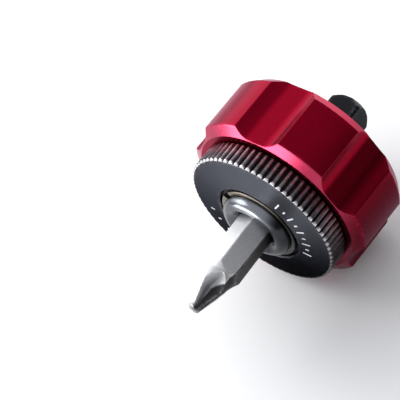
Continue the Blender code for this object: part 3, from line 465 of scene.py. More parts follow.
class Tree:
    """A node tree that is built one node at a time."""

    def __init__(self, owner):
        self.nodes, self.links = owner.nodes, owner.links
        self.nodes.clear()

    def node(self, kind, settings=None, sockets=None):
        """Add a node: its settings first, then the values or links of its sockets."""
        node = self.nodes.new(kind)
        for name, value in (settings or {}).items():
            setattr(node, name, value)
        for name, value in (sockets or {}).items():
            self.join(value, node.inputs[name])
        return node

    def join(self, value, socket):
        """Link a value to a socket, or set the socket to a constant."""
        if isinstance(value, Value):
            self.links.new(value.socket, socket)
        else:
            socket.default_value = value

    def add(self, kind, settings=None, sockets=None, output=0):
        """Add a node and return one of its outputs."""
        return Value(self, self.node(kind, settings, sockets).outputs[output])

    def split(self, vector):
        """The three parts of a vector."""
        return [Value(self, part) for part in self.node("ShaderNodeSeparateXYZ", None, {0: vector}).outputs]

    def step(self, value, low, high):
        """0 at low, 1 at high, smooth between."""
        return self.add("ShaderNodeMapRange", {"interpolation_type": "SMOOTHSTEP"},
                        {"Value": value, "From Min": low, "From Max": high})

    def mix(self, factor, first, second):
        """Blend of two colours."""
        first, second = (colour if isinstance(colour, Value) else (*colour, 1.0)
                         for colour in (first, second))
        return self.add("ShaderNodeMix", {"data_type": "RGBA"}, {0: factor, 6: first, 7: second}, output=2)


print("tree helpers ready")

# %% [markdown]
# ## Repeating a shape round the axis
# The knurl is one tooth, seventy-two times. The tree puts a point on the axis for every tooth, turns a copy
# of the tooth at each, joins the copies to the ring and ends in Realize Instances and Set Material.

# %% Tree that repeats a shape
REPEAT_INPUTS = {"Body": "Geometry", "Shape": "Object", "Count": "Int", "Start": "Float", "Step": "Float",
                 "Finish": "Material"}


def repeat_tree():
    """Node group: copies of a shape turned round Z, joined to the geometry that comes in."""
    group = bpy.data.node_groups.new("repeat round the axis", "GeometryNodeTree")
    for name, kind in REPEAT_INPUTS.items():
        group.interface.new_socket(name, in_out="INPUT", socket_type="NodeSocket" + kind)
    group.interface.new_socket("Mesh", in_out="OUTPUT", socket_type="NodeSocketGeometry")
    tree = Tree(group)
    inputs = tree.node("NodeGroupInput")
    given = {socket.name: Value(tree, socket) for socket in inputs.outputs if socket.name}
    points = tree.add("GeometryNodePoints", sockets={"Count": given["Count"]})
    index = tree.add("GeometryNodeInputIndex")
    turn = tree.add("ShaderNodeCombineXYZ", sockets={"Z": given["Start"] + index * given["Step"]})
    shape = tree.add("GeometryNodeObjectInfo", {"transform_space": "ORIGINAL"}, {"Object": given["Shape"]},
                     output="Geometry")
    copies = tree.add("GeometryNodeInstanceOnPoints",
                      sockets={"Points": points, "Instance": shape, "Rotation": turn})
    joined = tree.node("GeometryNodeJoinGeometry", sockets={"Geometry": given["Body"]})
    tree.links.new(copies.socket, joined.inputs["Geometry"])
    plain = tree.add("GeometryNodeRealizeInstances", sockets={"Geometry": Value(tree, joined.outputs[0])})
    coated = tree.add("GeometryNodeSetMaterial", sockets={"Geometry": plain, "Material": given["Finish"]})
    tree.node("NodeGroupOutput", sockets={"Mesh": coated})
    return group


REPEAT = repeat_tree()


def repeated(name, body, **inputs):
    """One piece of a body and the copies of a shape, laid down in the frame. Both sources are removed."""
    modifier = body.modifiers.new("repeat", "NODES")
    modifier.node_group = REPEAT
    for socket in REPEAT.interface.items_tree:
        if socket.in_out == "INPUT" and socket.name in inputs:
            modifier[socket.identifier] = inputs[socket.name]
    mesh = evaluated_mesh(body)
    for source in (body, inputs["Shape"]):
        bpy.data.objects.remove(source, do_unlink=True)
    return new_piece(name, finish_mesh(mesh))


print("repeat tree:", len(REPEAT.nodes), "nodes")

# %% [markdown]
# ## Spindle
# The spindle has a rounded lip round a hexagon socket, two grooves for snap rings, and a square drive.
# Hexagon and square are only radii that change with the angle, so the rows run from the bottom of the
# socket, over the lip and the outside, to the end of the square.

# %% Shape the spindle
BIT_TURN = radians(49.2)
SPINDLE_STEPS = 600
SEAT_GAP = 0.15
GEAR_SEAT_FLAT = 5.49
SOCKET_FLAT = 3.375
SOCKET_BREAK = 0.05
SOCKET_DEPTH = 12.6
MOUTH_RADIUS = 4.45
MOUTH_DEPTH = 0.8
MOUTH_ROWS = 8
LIP_HEIGHT = 1.75
LIP_BEVEL = 0.35
LIP_SETBACK = 0.15
LIP_ROWS = 18
LIP_EDGE = 0.1
JOURNAL_RADIUS = 7.0
REAR_JOURNAL = 4.6
JOURNAL_EDGE = 0.08
SNAP_GROOVE = 0.6
DRIVE_LENGTH = 7.4
DRIVE_FLAT = 3.175
DRIVE_CORNER = 4.15
DRIVE_CHAMFER = 0.9
CHAMFER_ROWS = 10


def polygon_radius(angles, sides, flat, turn, edge=0.0):
    """Radius of a polygon at each angle, with its corners cut back a little."""
    part = tau / sides
    off = (angles - turn + part / 2) % part - part / 2
    corner = flat / cos(part / 2) - edge
    return np.minimum(flat / np.cos(off), corner)


def spindle_rows():
    """Rows from the socket's floor over the lip to the end of the square drive."""
    angles = BIT_TURN + full_turn(SPINDLE_STEPS)
    drive_end, lip_front = levels("drive_spindle")
    lip_radius = JOURNAL_RADIUS - LIP_SETBACK
    lip_back = lip_front - LIP_HEIGHT
    mouth = lip_front - LIP_BEVEL
    floor = lip_front - SOCKET_DEPTH
    snap_seat = levels("front_snap_ring")[0] - SEAT_GAP
    rear_back, rear_front = levels("rear_snap_ring")
    rear_seat = rear_back - SEAT_GAP
    square_front = drive_end + DRIVE_LENGTH
    gear_back, gear_front = levels("ratchet_gear")
    seat_front = gear_front + SEAT_GAP
    magnet_floor = levels("bit_magnet")[0] - SEAT_GAP
    magnet_hole = outer_radius("bit_magnet") + SEAT_GAP
    hexagon = polygon_radius(angles, 6, SOCKET_FLAT, BIT_TURN, SOCKET_BREAK)
    seat = polygon_radius(angles, 6, GEAR_SEAT_FLAT, BIT_TURN)
    square = np.minimum(polygon_radius(angles, 4, DRIVE_FLAT, 0.0), DRIVE_CORNER)
    points = [(0.0, magnet_floor), (magnet_hole, magnet_floor), (magnet_hole, floor), (hexagon, floor)]
    for step in range(MOUTH_ROWS + 1):
        below = MOUTH_DEPTH * (1 - step / MOUTH_ROWS)
        points.append((np.maximum(hexagon, MOUTH_RADIUS - below), mouth - below))
    crest = lip_radius - LIP_HEIGHT
    points += round_corner((MOUTH_RADIUS, mouth), (crest, lip_front), (lip_radius, lip_front), LIP_EDGE)
    for step in range(1, LIP_ROWS + 1):
        turn = pi / 2 * (1 - step / LIP_ROWS)
        points.append((crest + LIP_HEIGHT * cos(turn), lip_back + LIP_HEIGHT * sin(turn)))
    points += rounded([
        (JOURNAL_RADIUS - SNAP_GROOVE, lip_back, 0),
        (JOURNAL_RADIUS - SNAP_GROOVE, snap_seat, 0),
        (JOURNAL_RADIUS, snap_seat, JOURNAL_EDGE),
        (JOURNAL_RADIUS, seat_front, 0),
    ], closed=False)
    points += [(seat, seat_front), (seat, gear_back)]
    points += rounded([
        (REAR_JOURNAL, gear_back, 0),
        (REAR_JOURNAL, rear_front, JOURNAL_EDGE),
        (REAR_JOURNAL - SNAP_GROOVE, rear_front, 0),
        (REAR_JOURNAL - SNAP_GROOVE, rear_seat, 0),
        (REAR_JOURNAL, rear_seat, JOURNAL_EDGE),
        (REAR_JOURNAL, square_front, 0),
    ], closed=False)
    chamfer_front = drive_end + DRIVE_CHAMFER
    sides = supported([(0.0, square_front), (0.0, chamfer_front)], closed=False)
    points += [(square, level) for _, level in sides[:-1]]
    for step in range(CHAMFER_ROWS + 1):
        depth = DRIVE_CHAMFER * step / CHAMFER_ROWS
        points.append((np.minimum(square, DRIVE_CORNER - depth), chamfer_front - depth))
    end = np.minimum(square, DRIVE_CORNER - DRIVE_CHAMFER)
    points += [(end - gap, drive_end) for gap in SUPPORT_GAPS]
    return rows_at(points + [(0.0, drive_end)], angles)


spindle = new_piece("spindle_skin", finish_mesh(skin("spindle", spindle_rows())))
print("spindle:", len(spindle.data.polygons), "faces")

# %% [markdown]
# ## Drive ball
# A spring ball in one side of the square keeps a socket from falling off. A Boolean drills its hole, and
# the ball is a half circle turned round its own axis.

# %% Drill for the ball
BALL_STEPS = 32
HOLE_STEPS = 48
HOLE_GAP = 0.2
HOLE_DEPTH = 2.6
DRILL_REACH = 4.0
ball_low, ball_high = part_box("drive_ball")
ball_centre = (ball_low + ball_high) / 2
ball_radius = (ball_high.y - ball_low.y) / 2 / MM


def side_turned(name, section, steps):
    """A section turned round the ball's own axis, with its levels counted outwards from the ball."""
    mesh = skin(name, rows_at(section, full_turn(steps)))
    mesh.transform(Matrix.Translation(ball_centre) @ Matrix.Rotation(-pi / 2, 4, "Y"))
    return finish_mesh(mesh, lay=False)


drilled = ball_radius + HOLE_GAP
drill = side_turned("drill", [(0.0, -HOLE_DEPTH), (drilled, -HOLE_DEPTH), (drilled, DRILL_REACH),
                              (0.0, DRILL_REACH)], HOLE_STEPS)
boolean(spindle, new_piece("drill", drill), "DIFFERENCE")
mark_edges(finish_mesh(spindle.data, lay=False), fade=0.15)
ball_turns = [pi * step / BALL_STEPS for step in range(BALL_STEPS + 1)]
ball_section = [(ball_radius * sin(turn), -ball_radius * cos(turn)) for turn in ball_turns]
drive_ball = new_piece("drive_ball_skin", side_turned("drive_ball", ball_section, 2 * BALL_STEPS))
print(f"ball {2 * ball_radius:.1f} mm across")

# %% [markdown]
# ## Bit
# The bit is hexagon bar, with a cone in front whose four grooves leave the wings of a cross point, and a
# flat blade behind. At each level the radius is the smallest of the hexagon, the cone, and what the grooves
# or the blade's sides leave. The socket is a little wide, so the bit leans as far as that play allows.

# %% Shape the bit
BIT_STEPS = 300
BIT_FLAT = 3.175
BIT_CORNER = BIT_FLAT / cos(pi / 6)
BIT_CORNER_BREAK = 0.07
BIT_LEAN = (0.0202, -0.0137)
POINT_LENGTH = 9.0
POINT_ROWS = 110
NOSE_RADIUS = 1.05
NOSE_EDGE = 0.2
CONE_LENGTH = 4.8
NECK_RADIUS = 3.0
NECK_EDGE = 0.8
SHOULDER = 1.4
SHOULDER_EDGE = 0.4
CORE_RADIUS = 0.6
GROOVE_HALF = radians(48)
GROOVE_TURN = BIT_TURN + radians(4)
GROOVE_RUN = 4.0
GROOVE_SWEEP = 3.8
BLADE_LENGTH = 6.0
BLADE_ROWS = 40
BLADE_EDGE = 1.2
BLADE_HALF = 0.5
BLADE_NARROWING = 0.45
TINY = 1e-6


def groove_radius(angles, from_tip):
    """Radius that the four V-shaped grooves leave, at a distance from the tip."""
    lifted = max(from_tip - GROOVE_RUN, 0.0)
    if lifted >= GROOVE_SWEEP:
        return np.full(angles.shape, np.inf)
    bottom = CORE_RADIUS + GROOVE_SWEEP - sqrt(GROOVE_SWEEP ** 2 - lifted ** 2)
    off = (angles - GROOVE_TURN + pi / 4) % (pi / 2) - pi / 4
    open_side = np.cos(off) - np.abs(np.sin(off)) / tan(GROOVE_HALF)
    return np.where(open_side > 0.0, bottom / np.maximum(open_side, TINY), np.inf)


def bit_rows():
    """Rows from the tip of the cross point to the edge of the blade."""
    angles = BIT_TURN + full_turn(BIT_STEPS)
    back, front = levels("hex_bit")
    hexagon = polygon_radius(angles, 6, BIT_FLAT, BIT_TURN, BIT_CORNER_BREAK)
    tip = rounded([
        (0.0, 0.0, 0),
        (NOSE_RADIUS, 0.0, NOSE_EDGE),
        (NECK_RADIUS, CONE_LENGTH, NECK_EDGE),
        (NECK_RADIUS, POINT_LENGTH - SHOULDER, SHOULDER_EDGE),
        (BIT_CORNER, POINT_LENGTH, 0),
    ], closed=False)
    tip_radii, tip_depths = np.array(tip[1:]).T
    points = [(0.0, front)]
    for depth in np.unique(np.r_[tip_depths, np.linspace(tip_depths[0], POINT_LENGTH, POINT_ROWS)]):
        cone = np.interp(depth, tip_depths, tip_radii)
        points.append((np.minimum(np.minimum(hexagon, cone), groove_radius(angles, depth)), front - depth))
    body = supported([(0.0, front - POINT_LENGTH), (0.0, back + BLADE_LENGTH)], closed=False)
    points += [(hexagon, level) for _, level in body[1:-1]]
    across = np.maximum(np.abs(np.cos(angles - BIT_TURN)), TINY)
    for height in np.linspace(BLADE_LENGTH, 0.0, BLADE_ROWS):
        slope = max(height - BLADE_EDGE, 0.0) / (BLADE_LENGTH - BLADE_EDGE)
        half = BLADE_HALF + (BIT_CORNER - BLADE_HALF) * slope
        narrow = BIT_CORNER - min(BLADE_NARROWING, BLADE_LENGTH - height)
        points.append((np.minimum(np.minimum(hexagon, narrow), half / across), back + height))
    rows = np.array(rows_at(points + [(0.0, back)], angles))
    socket_middle = (back + levels("drive_spindle")[1]) / 2
    rows[:, :, :2] += np.array(BIT_LEAN) * (rows[:, :, 2:] - socket_middle)
    return rows


bit = new_piece("bit_skin", mark_edges(finish_mesh(skin("bit", bit_rows())), fade=0.12))
print("bit:", len(bit.data.polygons), "faces")

# %% [markdown]
# ## Snap rings and washer
# A snap ring is stamped from spring steel: a flat C with its edges slightly rounded by the press. A section
# swept along the arc gives it, with its two ends closed.

# %% Sweep the rings
SNAP_OPENING = radians(14)
SNAP_STEPS = 160
WASHER_WIDTH = 2.2


def flat_ring(node, width, edge):
    """Section of a flat ring at the place of a node."""
    return ring_outline(outer_radius(node) - width, outer_radius(node), *levels(node), edge)


def snap_ring(name, node, width, turn, edge):
    """Split ring at the place of a node, open at an angle."""
    section = flat_ring(node, width, edge)
    rows = []
    for angle in np.linspace(turn + SNAP_OPENING / 2, turn + tau - SNAP_OPENING / 2, SNAP_STEPS):
        rows.append([(radius * cos(angle), radius * sin(angle), level) for radius, level in section])
    return new_piece(name, mark_edges(finish_mesh(skin(name, rows, caps=True)), fade=0.1))


front_ring = snap_ring("front_ring_skin", "front_snap_ring", width=1.15, turn=radians(138), edge=0.22)
rear_ring = snap_ring("rear_ring_skin", "rear_snap_ring", width=1.4, turn=radians(250), edge=0.12)
washer_mesh = turned("washer", flat_ring("rear_washer", WASHER_WIDTH, edge=0.1), RING_STEPS)
washer = new_piece("washer_skin", mark_edges(washer_mesh, fade=0.1))
print(f"front ring {2 * outer_radius('front_snap_ring'):.1f} mm across")

# %% [markdown]
# ## Finishes: what they share
# A finish is a pattern in Object coordinates, moved so that zero lies on the tool's axis and one unit is a
# millimetre. Marks left by a lathe run round the axis, so they depend only on the distance from it and on
# the level. Marks left by a mill run along it.

# %% Finish helper
class Finish(Tree):
    """A Principled material whose patterns are in millimetres from the tool's axis."""

    def __init__(self, name, **constants):
        self.material = bpy.data.materials.new(name)
        self.material.use_nodes = True
        super().__init__(self.material.node_tree)
        self.shader = self.node("ShaderNodeBsdfPrincipled", sockets=constants)
        self.node("ShaderNodeOutputMaterial", sockets={"Surface": Value(self, self.shader.outputs[0])})
        spot = self.add("ShaderNodeTexCoord", output="Object")
        self.place = self.add("ShaderNodeMapping", sockets={
            "Vector": spot, "Location": (0.0, -BACK_FACE / MM, -AXIS_HEIGHT / MM), "Scale": (1 / MM,) * 3})
        self.x, self.back, self.up = self.split(self.place)
        self.forward = self.back * -1.0
        self.radius = (self.x * self.x + self.up * self.up) ** 0.5
        self.edge = self.add("ShaderNodeAttribute", {"attribute_name": "edge"}, output="Fac")

    def noise(self, size, detail=2.0, stretch=(1.0, 1.0, 1.0), roughness=0.5):
        """Cloudy pattern with features of a size in millimetres, drawn out along some axes."""
        scaled = self.add("ShaderNodeMapping", sockets={
            "Vector": self.place, "Scale": [1 / length for length in stretch]})
        return self.add("ShaderNodeTexNoise", sockets={
            "Vector": scaled, "Scale": 1 / size, "Detail": detail, "Roughness": roughness})

    def lathe_marks(self, pitch, detail=2.0):
        """Fine marks that run round the axis."""
        flat = self.add("ShaderNodeCombineXYZ", sockets={"X": self.radius, "Y": self.back})
        return self.add("ShaderNodeTexNoise", sockets={
            "Vector": flat, "Scale": 1 / pitch, "Detail": detail, "Roughness": 0.6})

    def side(self, direction, blur, start, end):
        """0 to 1 across the tool in a direction of (x, up), between two distances from the axis."""
        return self.step(self.x * direction[0] + self.up * direction[1] + blur, start, end)

    def bump(self, height, depth, strength):
        """Surface relief of a depth in millimetres."""
        return self.add("ShaderNodeBump", sockets={
            "Strength": strength, "Distance": depth * MM, "Height": height})

    def set(self, **values):
        """Link or set the shader's sockets, named with underscores for spaces."""
        for name, value in values.items():
            self.join(value, self.shader.inputs[name.replace("_", " ")])
        return self.material


print("finish helper ready")

# %% [markdown]
# ## Red anodised aluminium
# Red dye soaks into the clear layer that anodising grows, so the metal's reflections turn red. Lands keep
# the lathe's marks and flutes the mill's. Along sharp edges the layer is thin. The front chamfer was cut
# last and has a paler red and a clear coat. The lower right is darkened to a deeper red as painted shade.

# %% Red finish
RED_DEEP = (0.190, 0.0006, 0.010)
RED_BRIGHT = (0.275, 0.0012, 0.016)
RED_CUT = (0.73, 0.055, 0.183)
RED_PALE = (0.55, 0.015, 0.055)
RED_SHADED = (0.065, 0.0004, 0.005)
RED_GRAZING = (1.0, 0.74, 0.84, 1.0)
CUT_DEPTH = 0.12
END_FADE = (0.05, 0.15)
SHADED_SIDE = (0.94, -0.34)

red = Finish("red_anodised", **{"Metallic": 1.0, "Coat Roughness": 0.2, "Specular Tint": RED_GRAZING})
cloud = red.noise(5.0, detail=3.0)
speck = red.noise(0.35)
lathe = red.lathe_marks(0.45)
mill = red.noise(0.45, stretch=(1.0, 9.0, 1.0))
in_flute = red.step(red.radius, GRIP_RADIUS - 0.12, GRIP_RADIUS - 0.3)
from_front = GRIP_LENGTH - red.forward
on_side = red.step(red.forward, *END_FADE) * red.step(from_front, *END_FADE)
milled = in_flute * on_side
marks = mill * milled + lathe * (1 - milled)
slope = FRONT_CHAMFER[0] / FRONT_CHAMFER[1]
cone = GRIP_RADIUS - (red.forward - (GRIP_LENGTH - FRONT_CHAMFER[1])) * slope
cut = red.step(red.radius - cone, -CUT_DEPTH, -CUT_DEPTH / 3)
worn = red.edge * on_side * red.step(red.noise(0.9, detail=3.0), 0.35, 0.7)
colour = red.mix(cloud * 0.7 + speck * 0.3, RED_DEEP, RED_BRIGHT)
# Painted shade: the grip's lower right is darkened to a deeper red, and the chamfer's paler red and coat are
# left off there.
shaded = red.side(SHADED_SIDE, cloud * 3.0, 9.0, 19.0)
colour = red.mix(shaded * 0.75, colour, RED_SHADED)
colour = red.mix(cut * (0.15 + cloud * 0.25) * (1 - shaded), colour, RED_CUT)
RED = red.set(
    Base_Color=red.mix(worn * 0.4, colour, RED_PALE),
    Roughness=0.22 + cloud * 0.06 + marks * 0.06 - worn * 0.05,
    Coat_Weight=0.01 + speck * 0.02 + cut * (1 - shaded) * 0.4,
    Normal=red.bump(marks + speck * 0.3, depth=0.002, strength=0.4))
print("finish:", RED.name)

# %% [markdown]
# ## Black ring
# The ring is satin, with fine circles from the lathe on its face. Its upper left is painted paler and its
# lower right darker, as painted light and shade. Wear has polished the front ends of the teeth, and a
# painted highlight makes them brighter on the lit side. Towards the grip the teeth carry a painted
# reflection of the grip's red, and painted shade keeps the grooves between them black.

# %% Black finish
RING_DARK = (0.027, 0.027, 0.031)
RING_GREY = (0.120, 0.124, 0.143)
RING_KNURL = (0.171, 0.132, 0.144)
RING_PAINTED_RED_REFLECTION = (0.37, 0.085, 0.116)
RING_WEAR_AND_HIGHLIGHT = (0.90, 0.90, 0.93)
RING_GAP = (0.004, 0.004, 0.004)
RING_GRAZING = (0.28, 0.28, 0.28, 1.0)
PAINTED_LIGHT_SIDE = (-0.35, 0.95)

black = Finish("black_ring", **{"Metallic": 1.0, "Specular Tint": RING_GRAZING})
cloud = black.noise(3.5, detail=3.0)
speck = black.noise(0.35)
circles = black.lathe_marks(0.4)
# Painted light and shade: the ring's upper left is made paler and its lower right darker, on the face, the
# knurl and the tooth ends.
painted_light = black.side(PAINTED_LIGHT_SIDE, cloud * 4.0, -11.0, 13.0)
outside = black.step(black.radius, knurl_root - 0.05, knurl_root)
on_tooth = black.step(black.radius, knurl_root + 0.02, knurl_root + 0.14)
from_front = ring_front - black.forward
tooth_ends = on_tooth * black.step(from_front, KNURL_DEPTH, KNURL_DEPTH * 0.6)
# Painted reflection: the backs of the teeth on the lit side take the red of the grip beside them.
painted_red_reflection = on_tooth * painted_light * black.step(from_front, 1.4, 2.6) * (0.2 + speck * 0.6)
rubbed = black.edge * black.step(black.noise(0.7), 0.4, 0.7)
# The tooth ends and edges are polished by wear, and a painted highlight makes them brighter on the lit side.
worn = (tooth_ends * (0.55 + speck * 0.5) + rubbed * 0.12) * (0.25 + painted_light * 0.75)
# Painted shade: the grooves between the teeth are made almost black.
gap = outside * black.step(black.radius, knurl_root + 0.34, knurl_root + 0.08) * (1 - tooth_ends)
colour = black.mix(painted_light * 0.75 + circles * 0.12 + speck * 0.1, RING_DARK, RING_GREY)
colour = black.mix(outside * (0.25 + painted_light * 0.5), colour, RING_KNURL)
colour = black.mix(painted_red_reflection, colour, RING_PAINTED_RED_REFLECTION)
colour = black.mix(gap * 0.9, colour, RING_GAP)
BLACK = black.set(
    Base_Color=black.mix(worn, colour, RING_WEAR_AND_HIGHLIGHT),
    Roughness=0.24 + cloud * 0.08 + speck * 0.06 + gap * 0.2,
    Normal=black.bump(circles + speck * 0.4, depth=0.002, strength=0.4))
print("finish:", BLACK.name)

# %% [markdown]
# ## Spindle steel
# One piece of steel carries two looks. In front, bits have polished the lip; a painted highlight makes it
# brightest above and painted shade makes it black at the lower right. Behind the grip, the square keeps its
# black oxide, rubbed thin along the corners. The level along the axis tells the shader which is which.

# %% Spindle finish
STEEL_BRIGHT = (0.290, 0.305, 0.335)
STEEL_GREY = (0.098, 0.102, 0.113)
OXIDE_BLACK_AND_SHADE = (0.014, 0.015, 0.017)
HIGHLIGHT_SIDE = (0.8, 0.6)
LOWER_RIGHT_SHADE_SIDE = (0.8, -0.6)

steel = Finish("spindle_steel", Metallic=1.0)
cloud = steel.noise(1.8, detail=3.0)
speck = steel.noise(0.15, detail=3.0)
circles = steel.lathe_marks(0.09, detail=3.0)
oxidised = steel.step(steel.forward, 1.0, 0.0)
worn = steel.edge * steel.step(steel.noise(0.6), 0.3, 0.7)
# Painted highlight: the lip is made brighter above. Painted shade: it is made black at the lower right.
painted_highlight = steel.side(HIGHLIGHT_SIDE, cloud, 0.8, 4.8)
painted_shade_low = steel.side(LOWER_RIGHT_SHADE_SIDE, cloud, 0.0, 3.2)
bright = steel.mix(painted_highlight * 0.8 + cloud * 0.2, STEEL_GREY, STEEL_BRIGHT)
bright = steel.mix(painted_shade_low * 0.9, bright, OXIDE_BLACK_AND_SHADE)
colour = steel.mix(oxidised * (1 - worn * 0.45), bright, OXIDE_BLACK_AND_SHADE)
SPINDLE = steel.set(
    Base_Color=colour,
    Roughness=0.2 + circles * 0.08 + oxidised * (0.16 + speck * 0.16),
    Normal=steel.bump(circles + speck * oxidised, depth=0.004, strength=0.45))
print("finish:", SPINDLE.name)

# %% [markdown]
# ## Satin bit steel
# The bit is blasted and plated, which leaves a fine, even grain. Its flats show faint lines along the bar,
# and its edges are brighter. Use has darkened the tip, and the flat on its lower right is darkened as
# painted shade.

# %% Bit finish
BIT_GREY = (0.56, 0.56, 0.575)
BIT_PALE = (0.75, 0.75, 0.765)
BIT_TIP_STAIN_AND_SHADE = (0.04, 0.039, 0.04)
BIT_WORN = (0.86, 0.86, 0.87)
SHADED_FLAT_TURN = BIT_TURN - pi / 3

satin = Finish("bit_steel", Metallic=1.0)
grain = satin.noise(0.3, detail=3.0, roughness=0.7)
cloud = satin.noise(2.4, detail=3.0)
drawn = satin.noise(0.14, stretch=(1.0, 14.0, 1.0))
worn = satin.edge * satin.step(satin.noise(0.5), 0.3, 0.7)
facing = satin.x * cos(SHADED_FLAT_TURN) + satin.up * sin(SHADED_FLAT_TURN) - satin.radius * cos(pi / 6)
# Painted shade: the flat at the lower right is made almost black.
painted_shade_flat = satin.step(facing + cloud * 0.1, 0.05, 0.13)
bit_end = levels("hex_bit")[1]
tip = satin.step(satin.forward + cloud * 0.6, bit_end - 0.9, bit_end + 0.2)
colour = satin.mix(cloud * 0.2 + drawn * 0.25 + satin.step(grain, 0.3, 0.7) * 0.55, BIT_GREY, BIT_PALE)
colour = satin.mix(painted_shade_flat * 0.98 + tip * (1 - painted_shade_flat) * 0.65, colour, BIT_TIP_STAIN_AND_SHADE)
BIT = satin.set(
    Base_Color=satin.mix(worn * (1 - painted_shade_flat * 0.7) * 0.6, colour, BIT_WORN),
    Roughness=0.43 + grain * 0.14 - worn * 0.1,
    Normal=satin.bump(grain + drawn * 0.5, depth=0.005, strength=0.5))
print("finish:", BIT.name)

# %% [markdown]
# ## Small steel and bronze pieces
# The small pieces are turned, ground or drawn, and carry a light film of oil. They differ in colour,
# roughness and size of marks, so one function makes all their finishes. Oil leaves brownish streaks. The
# lower right of the front snap ring is blackened as painted shade.

# %% Plain worked metals
OIL = (0.16, 0.10, 0.05)
WORKED = (    # name, colour, roughness, size of marks, oil, painted shade at the lower right
    ("spring_steel", (0.205, 0.187, 0.157), 0.26, 0.12, 0.5, 0.0),
    ("snap_ring_steel", (0.205, 0.187, 0.157), 0.26, 0.12, 0.5, 0.9),
    ("machined_steel", (0.56, 0.56, 0.57), 0.3, 0.1, 0.4, 0.0),
    ("bronze", (0.56, 0.38, 0.17), 0.36, 0.14, 0.35, 0.0),
    ("magnet_nickel", (0.64, 0.61, 0.56), 0.18, 0.2, 0.2, 0.0),
    ("ball_steel", (0.62, 0.62, 0.64), 0.12, 0.3, 0.1, 0.0),
)


def worked_metal(name, colour, roughness, mark_size, oil, low_shade):
    """Turned or drawn metal with a film of oil, and painted shade at the lower right where the last argument
    is set.
    """
    metal = Finish(name, Metallic=1.0)
    cloud = metal.noise(1.6, detail=3.0)
    marks = metal.lathe_marks(mark_size)
    speck = metal.noise(0.2, detail=3.0)
    film = metal.step(metal.noise(2.2, detail=4.0), 0.45, 0.75) * oil
    # Painted shade: the lower right is blackened by as much as the row's last number.
    low = metal.side(LOWER_RIGHT_SHADE_SIDE, cloud, 0.0, 3.5) * low_shade
    dark = tuple(channel * 0.72 for channel in colour)
    base = metal.mix(film, metal.mix(cloud * 0.6 + marks * 0.4, dark, colour), OIL)
    return metal.set(
        Base_Color=metal.mix(low, base, OXIDE_BLACK_AND_SHADE),
        Roughness=roughness + cloud * 0.08 + marks * 0.08 - film * 0.08,
        Normal=metal.bump(marks + speck * 0.4, depth=0.004, strength=0.4))


METALS = {row[0]: worked_metal(*row) for row in WORKED}
print("finishes:", ", ".join(METALS))

# %% [markdown]
# ## Knurl
# A knurling wheel presses straight teeth into the rim. One tooth is a short ridge with a rounded top, and a
# quarter round in front. It is made once, at angle zero, and the repeat tree turns the rest into place.

# %% Teeth round the ring
TEETH = 72
TOOTH_HALF = 0.51
TOOTH_SINK = 0.12
TOOTH_TOP = ((-1.0, 0.0), (-0.72, 0.55), (-0.4, 0.94), (0.0, 1.0), (0.4, 0.94), (0.72, 0.55), (1.0, 0.0))
BACK_BREAK = 0.15
END_TURNS = np.radians((0.0, 30.0, 60.0, 88.0))

tooth_levels = [(ring_back, KNURL_DEPTH - BACK_BREAK), (ring_back + BACK_BREAK, KNURL_DEPTH)]
for turn in END_TURNS:
    tooth_levels.append((ring_front - KNURL_DEPTH * (1 - sin(turn)), KNURL_DEPTH * cos(turn)))
tooth_foot = knurl_root - TOOTH_SINK
tooth_rows = []
for level, height in tooth_levels:
    row = [(knurl_root + min(share * KNURL_DEPTH, height), side * TOOTH_HALF, level)
           for side, share in TOOTH_TOP]
    tooth_rows.append(row + [(tooth_foot, TOOTH_HALF, level), (tooth_foot, -TOOTH_HALF, level)])
tooth = new_piece("tooth", finish_mesh(skin("tooth", tooth_rows, caps=True), lay=False))
ring = repeated("ring_skin", ring_core, Shape=tooth, Count=TEETH, Start=0.0, Step=tau / TEETH, Finish=BLACK)
mark_edges(ring.data, fade=0.1)
print("ring:", len(ring.data.polygons), "faces with", TEETH, "teeth")

# %% [markdown]
# ## Marks on the ring
# Plain strokes in pale paint mark the ring's face: long and short ticks in turn on one side, and three
# ticks on the other. Each follows the slope of the face, and the repeat tree copies it along an arc.

# %% Ticks
PAINT_PALE = (0.88, 0.88, 0.90)
PAINT_DULL = (0.64, 0.65, 0.67)
TICK_WIDTH = 0.3
TICK_PROUD = 0.02
TICK_SINK = 0.1
TICK_ENDS = ((-0.5, 0.35), (-0.4, 0.5), (0.4, 0.5), (0.5, 0.35))    # share of the length, half width
TICK_ROWS = (    # name, count, first angle, step, middle radius, length
    ("long_marks", 5, 52.0, -18.0, 10.1, 1.6),
    ("short_marks", 4, 43.0, -18.0, 10.1, 0.7),
    ("left_marks", 3, -168.0, 13.0, 11.3, 1.0),
)

paint = Finish("mark_paint", Metallic=0.0)
chips = paint.step(paint.noise(0.3, detail=3.0), 0.35, 0.6)
PAINT = paint.set(
    Base_Color=paint.mix(chips, PAINT_DULL, PAINT_PALE),
    Roughness=0.45 + chips * 0.15,
    Normal=paint.bump(chips, depth=0.01, strength=0.4))


def face_level(radius):
    """Level of the ring's sloping face at a radius."""
    inner = recess_radius + RECESS_CHAMFER
    return ring_crown - FACE_RISE * (radius - inner) / (knurl_root - inner)


def tick_mesh(middle, length):
    """One stroke at angle zero, pointing outwards."""
    rows = []
    for share, half in TICK_ENDS:
        radius, side = middle + share * length, half * TICK_WIDTH
        low, high = face_level(radius) - TICK_SINK, face_level(radius) + TICK_PROUD
        rows.append([(radius, -side, low), (radius, side, low), (radius, side, high), (radius, -side, high)])
    return finish_mesh(skin("tick", rows, caps=True), lay=False)


MARKS = []
for name, count, start, step, middle, length in TICK_ROWS:
    empty = new_piece("empty", bpy.data.meshes.new("empty"))
    tick = new_piece("tick", tick_mesh(middle, length))
    MARKS.append(repeated(name, empty, Shape=tick, Count=count, Start=radians(start), Step=radians(step),
                          Finish=PAINT))
print("marks:", sum(len(piece.data.polygons) for piece in MARKS), "faces")

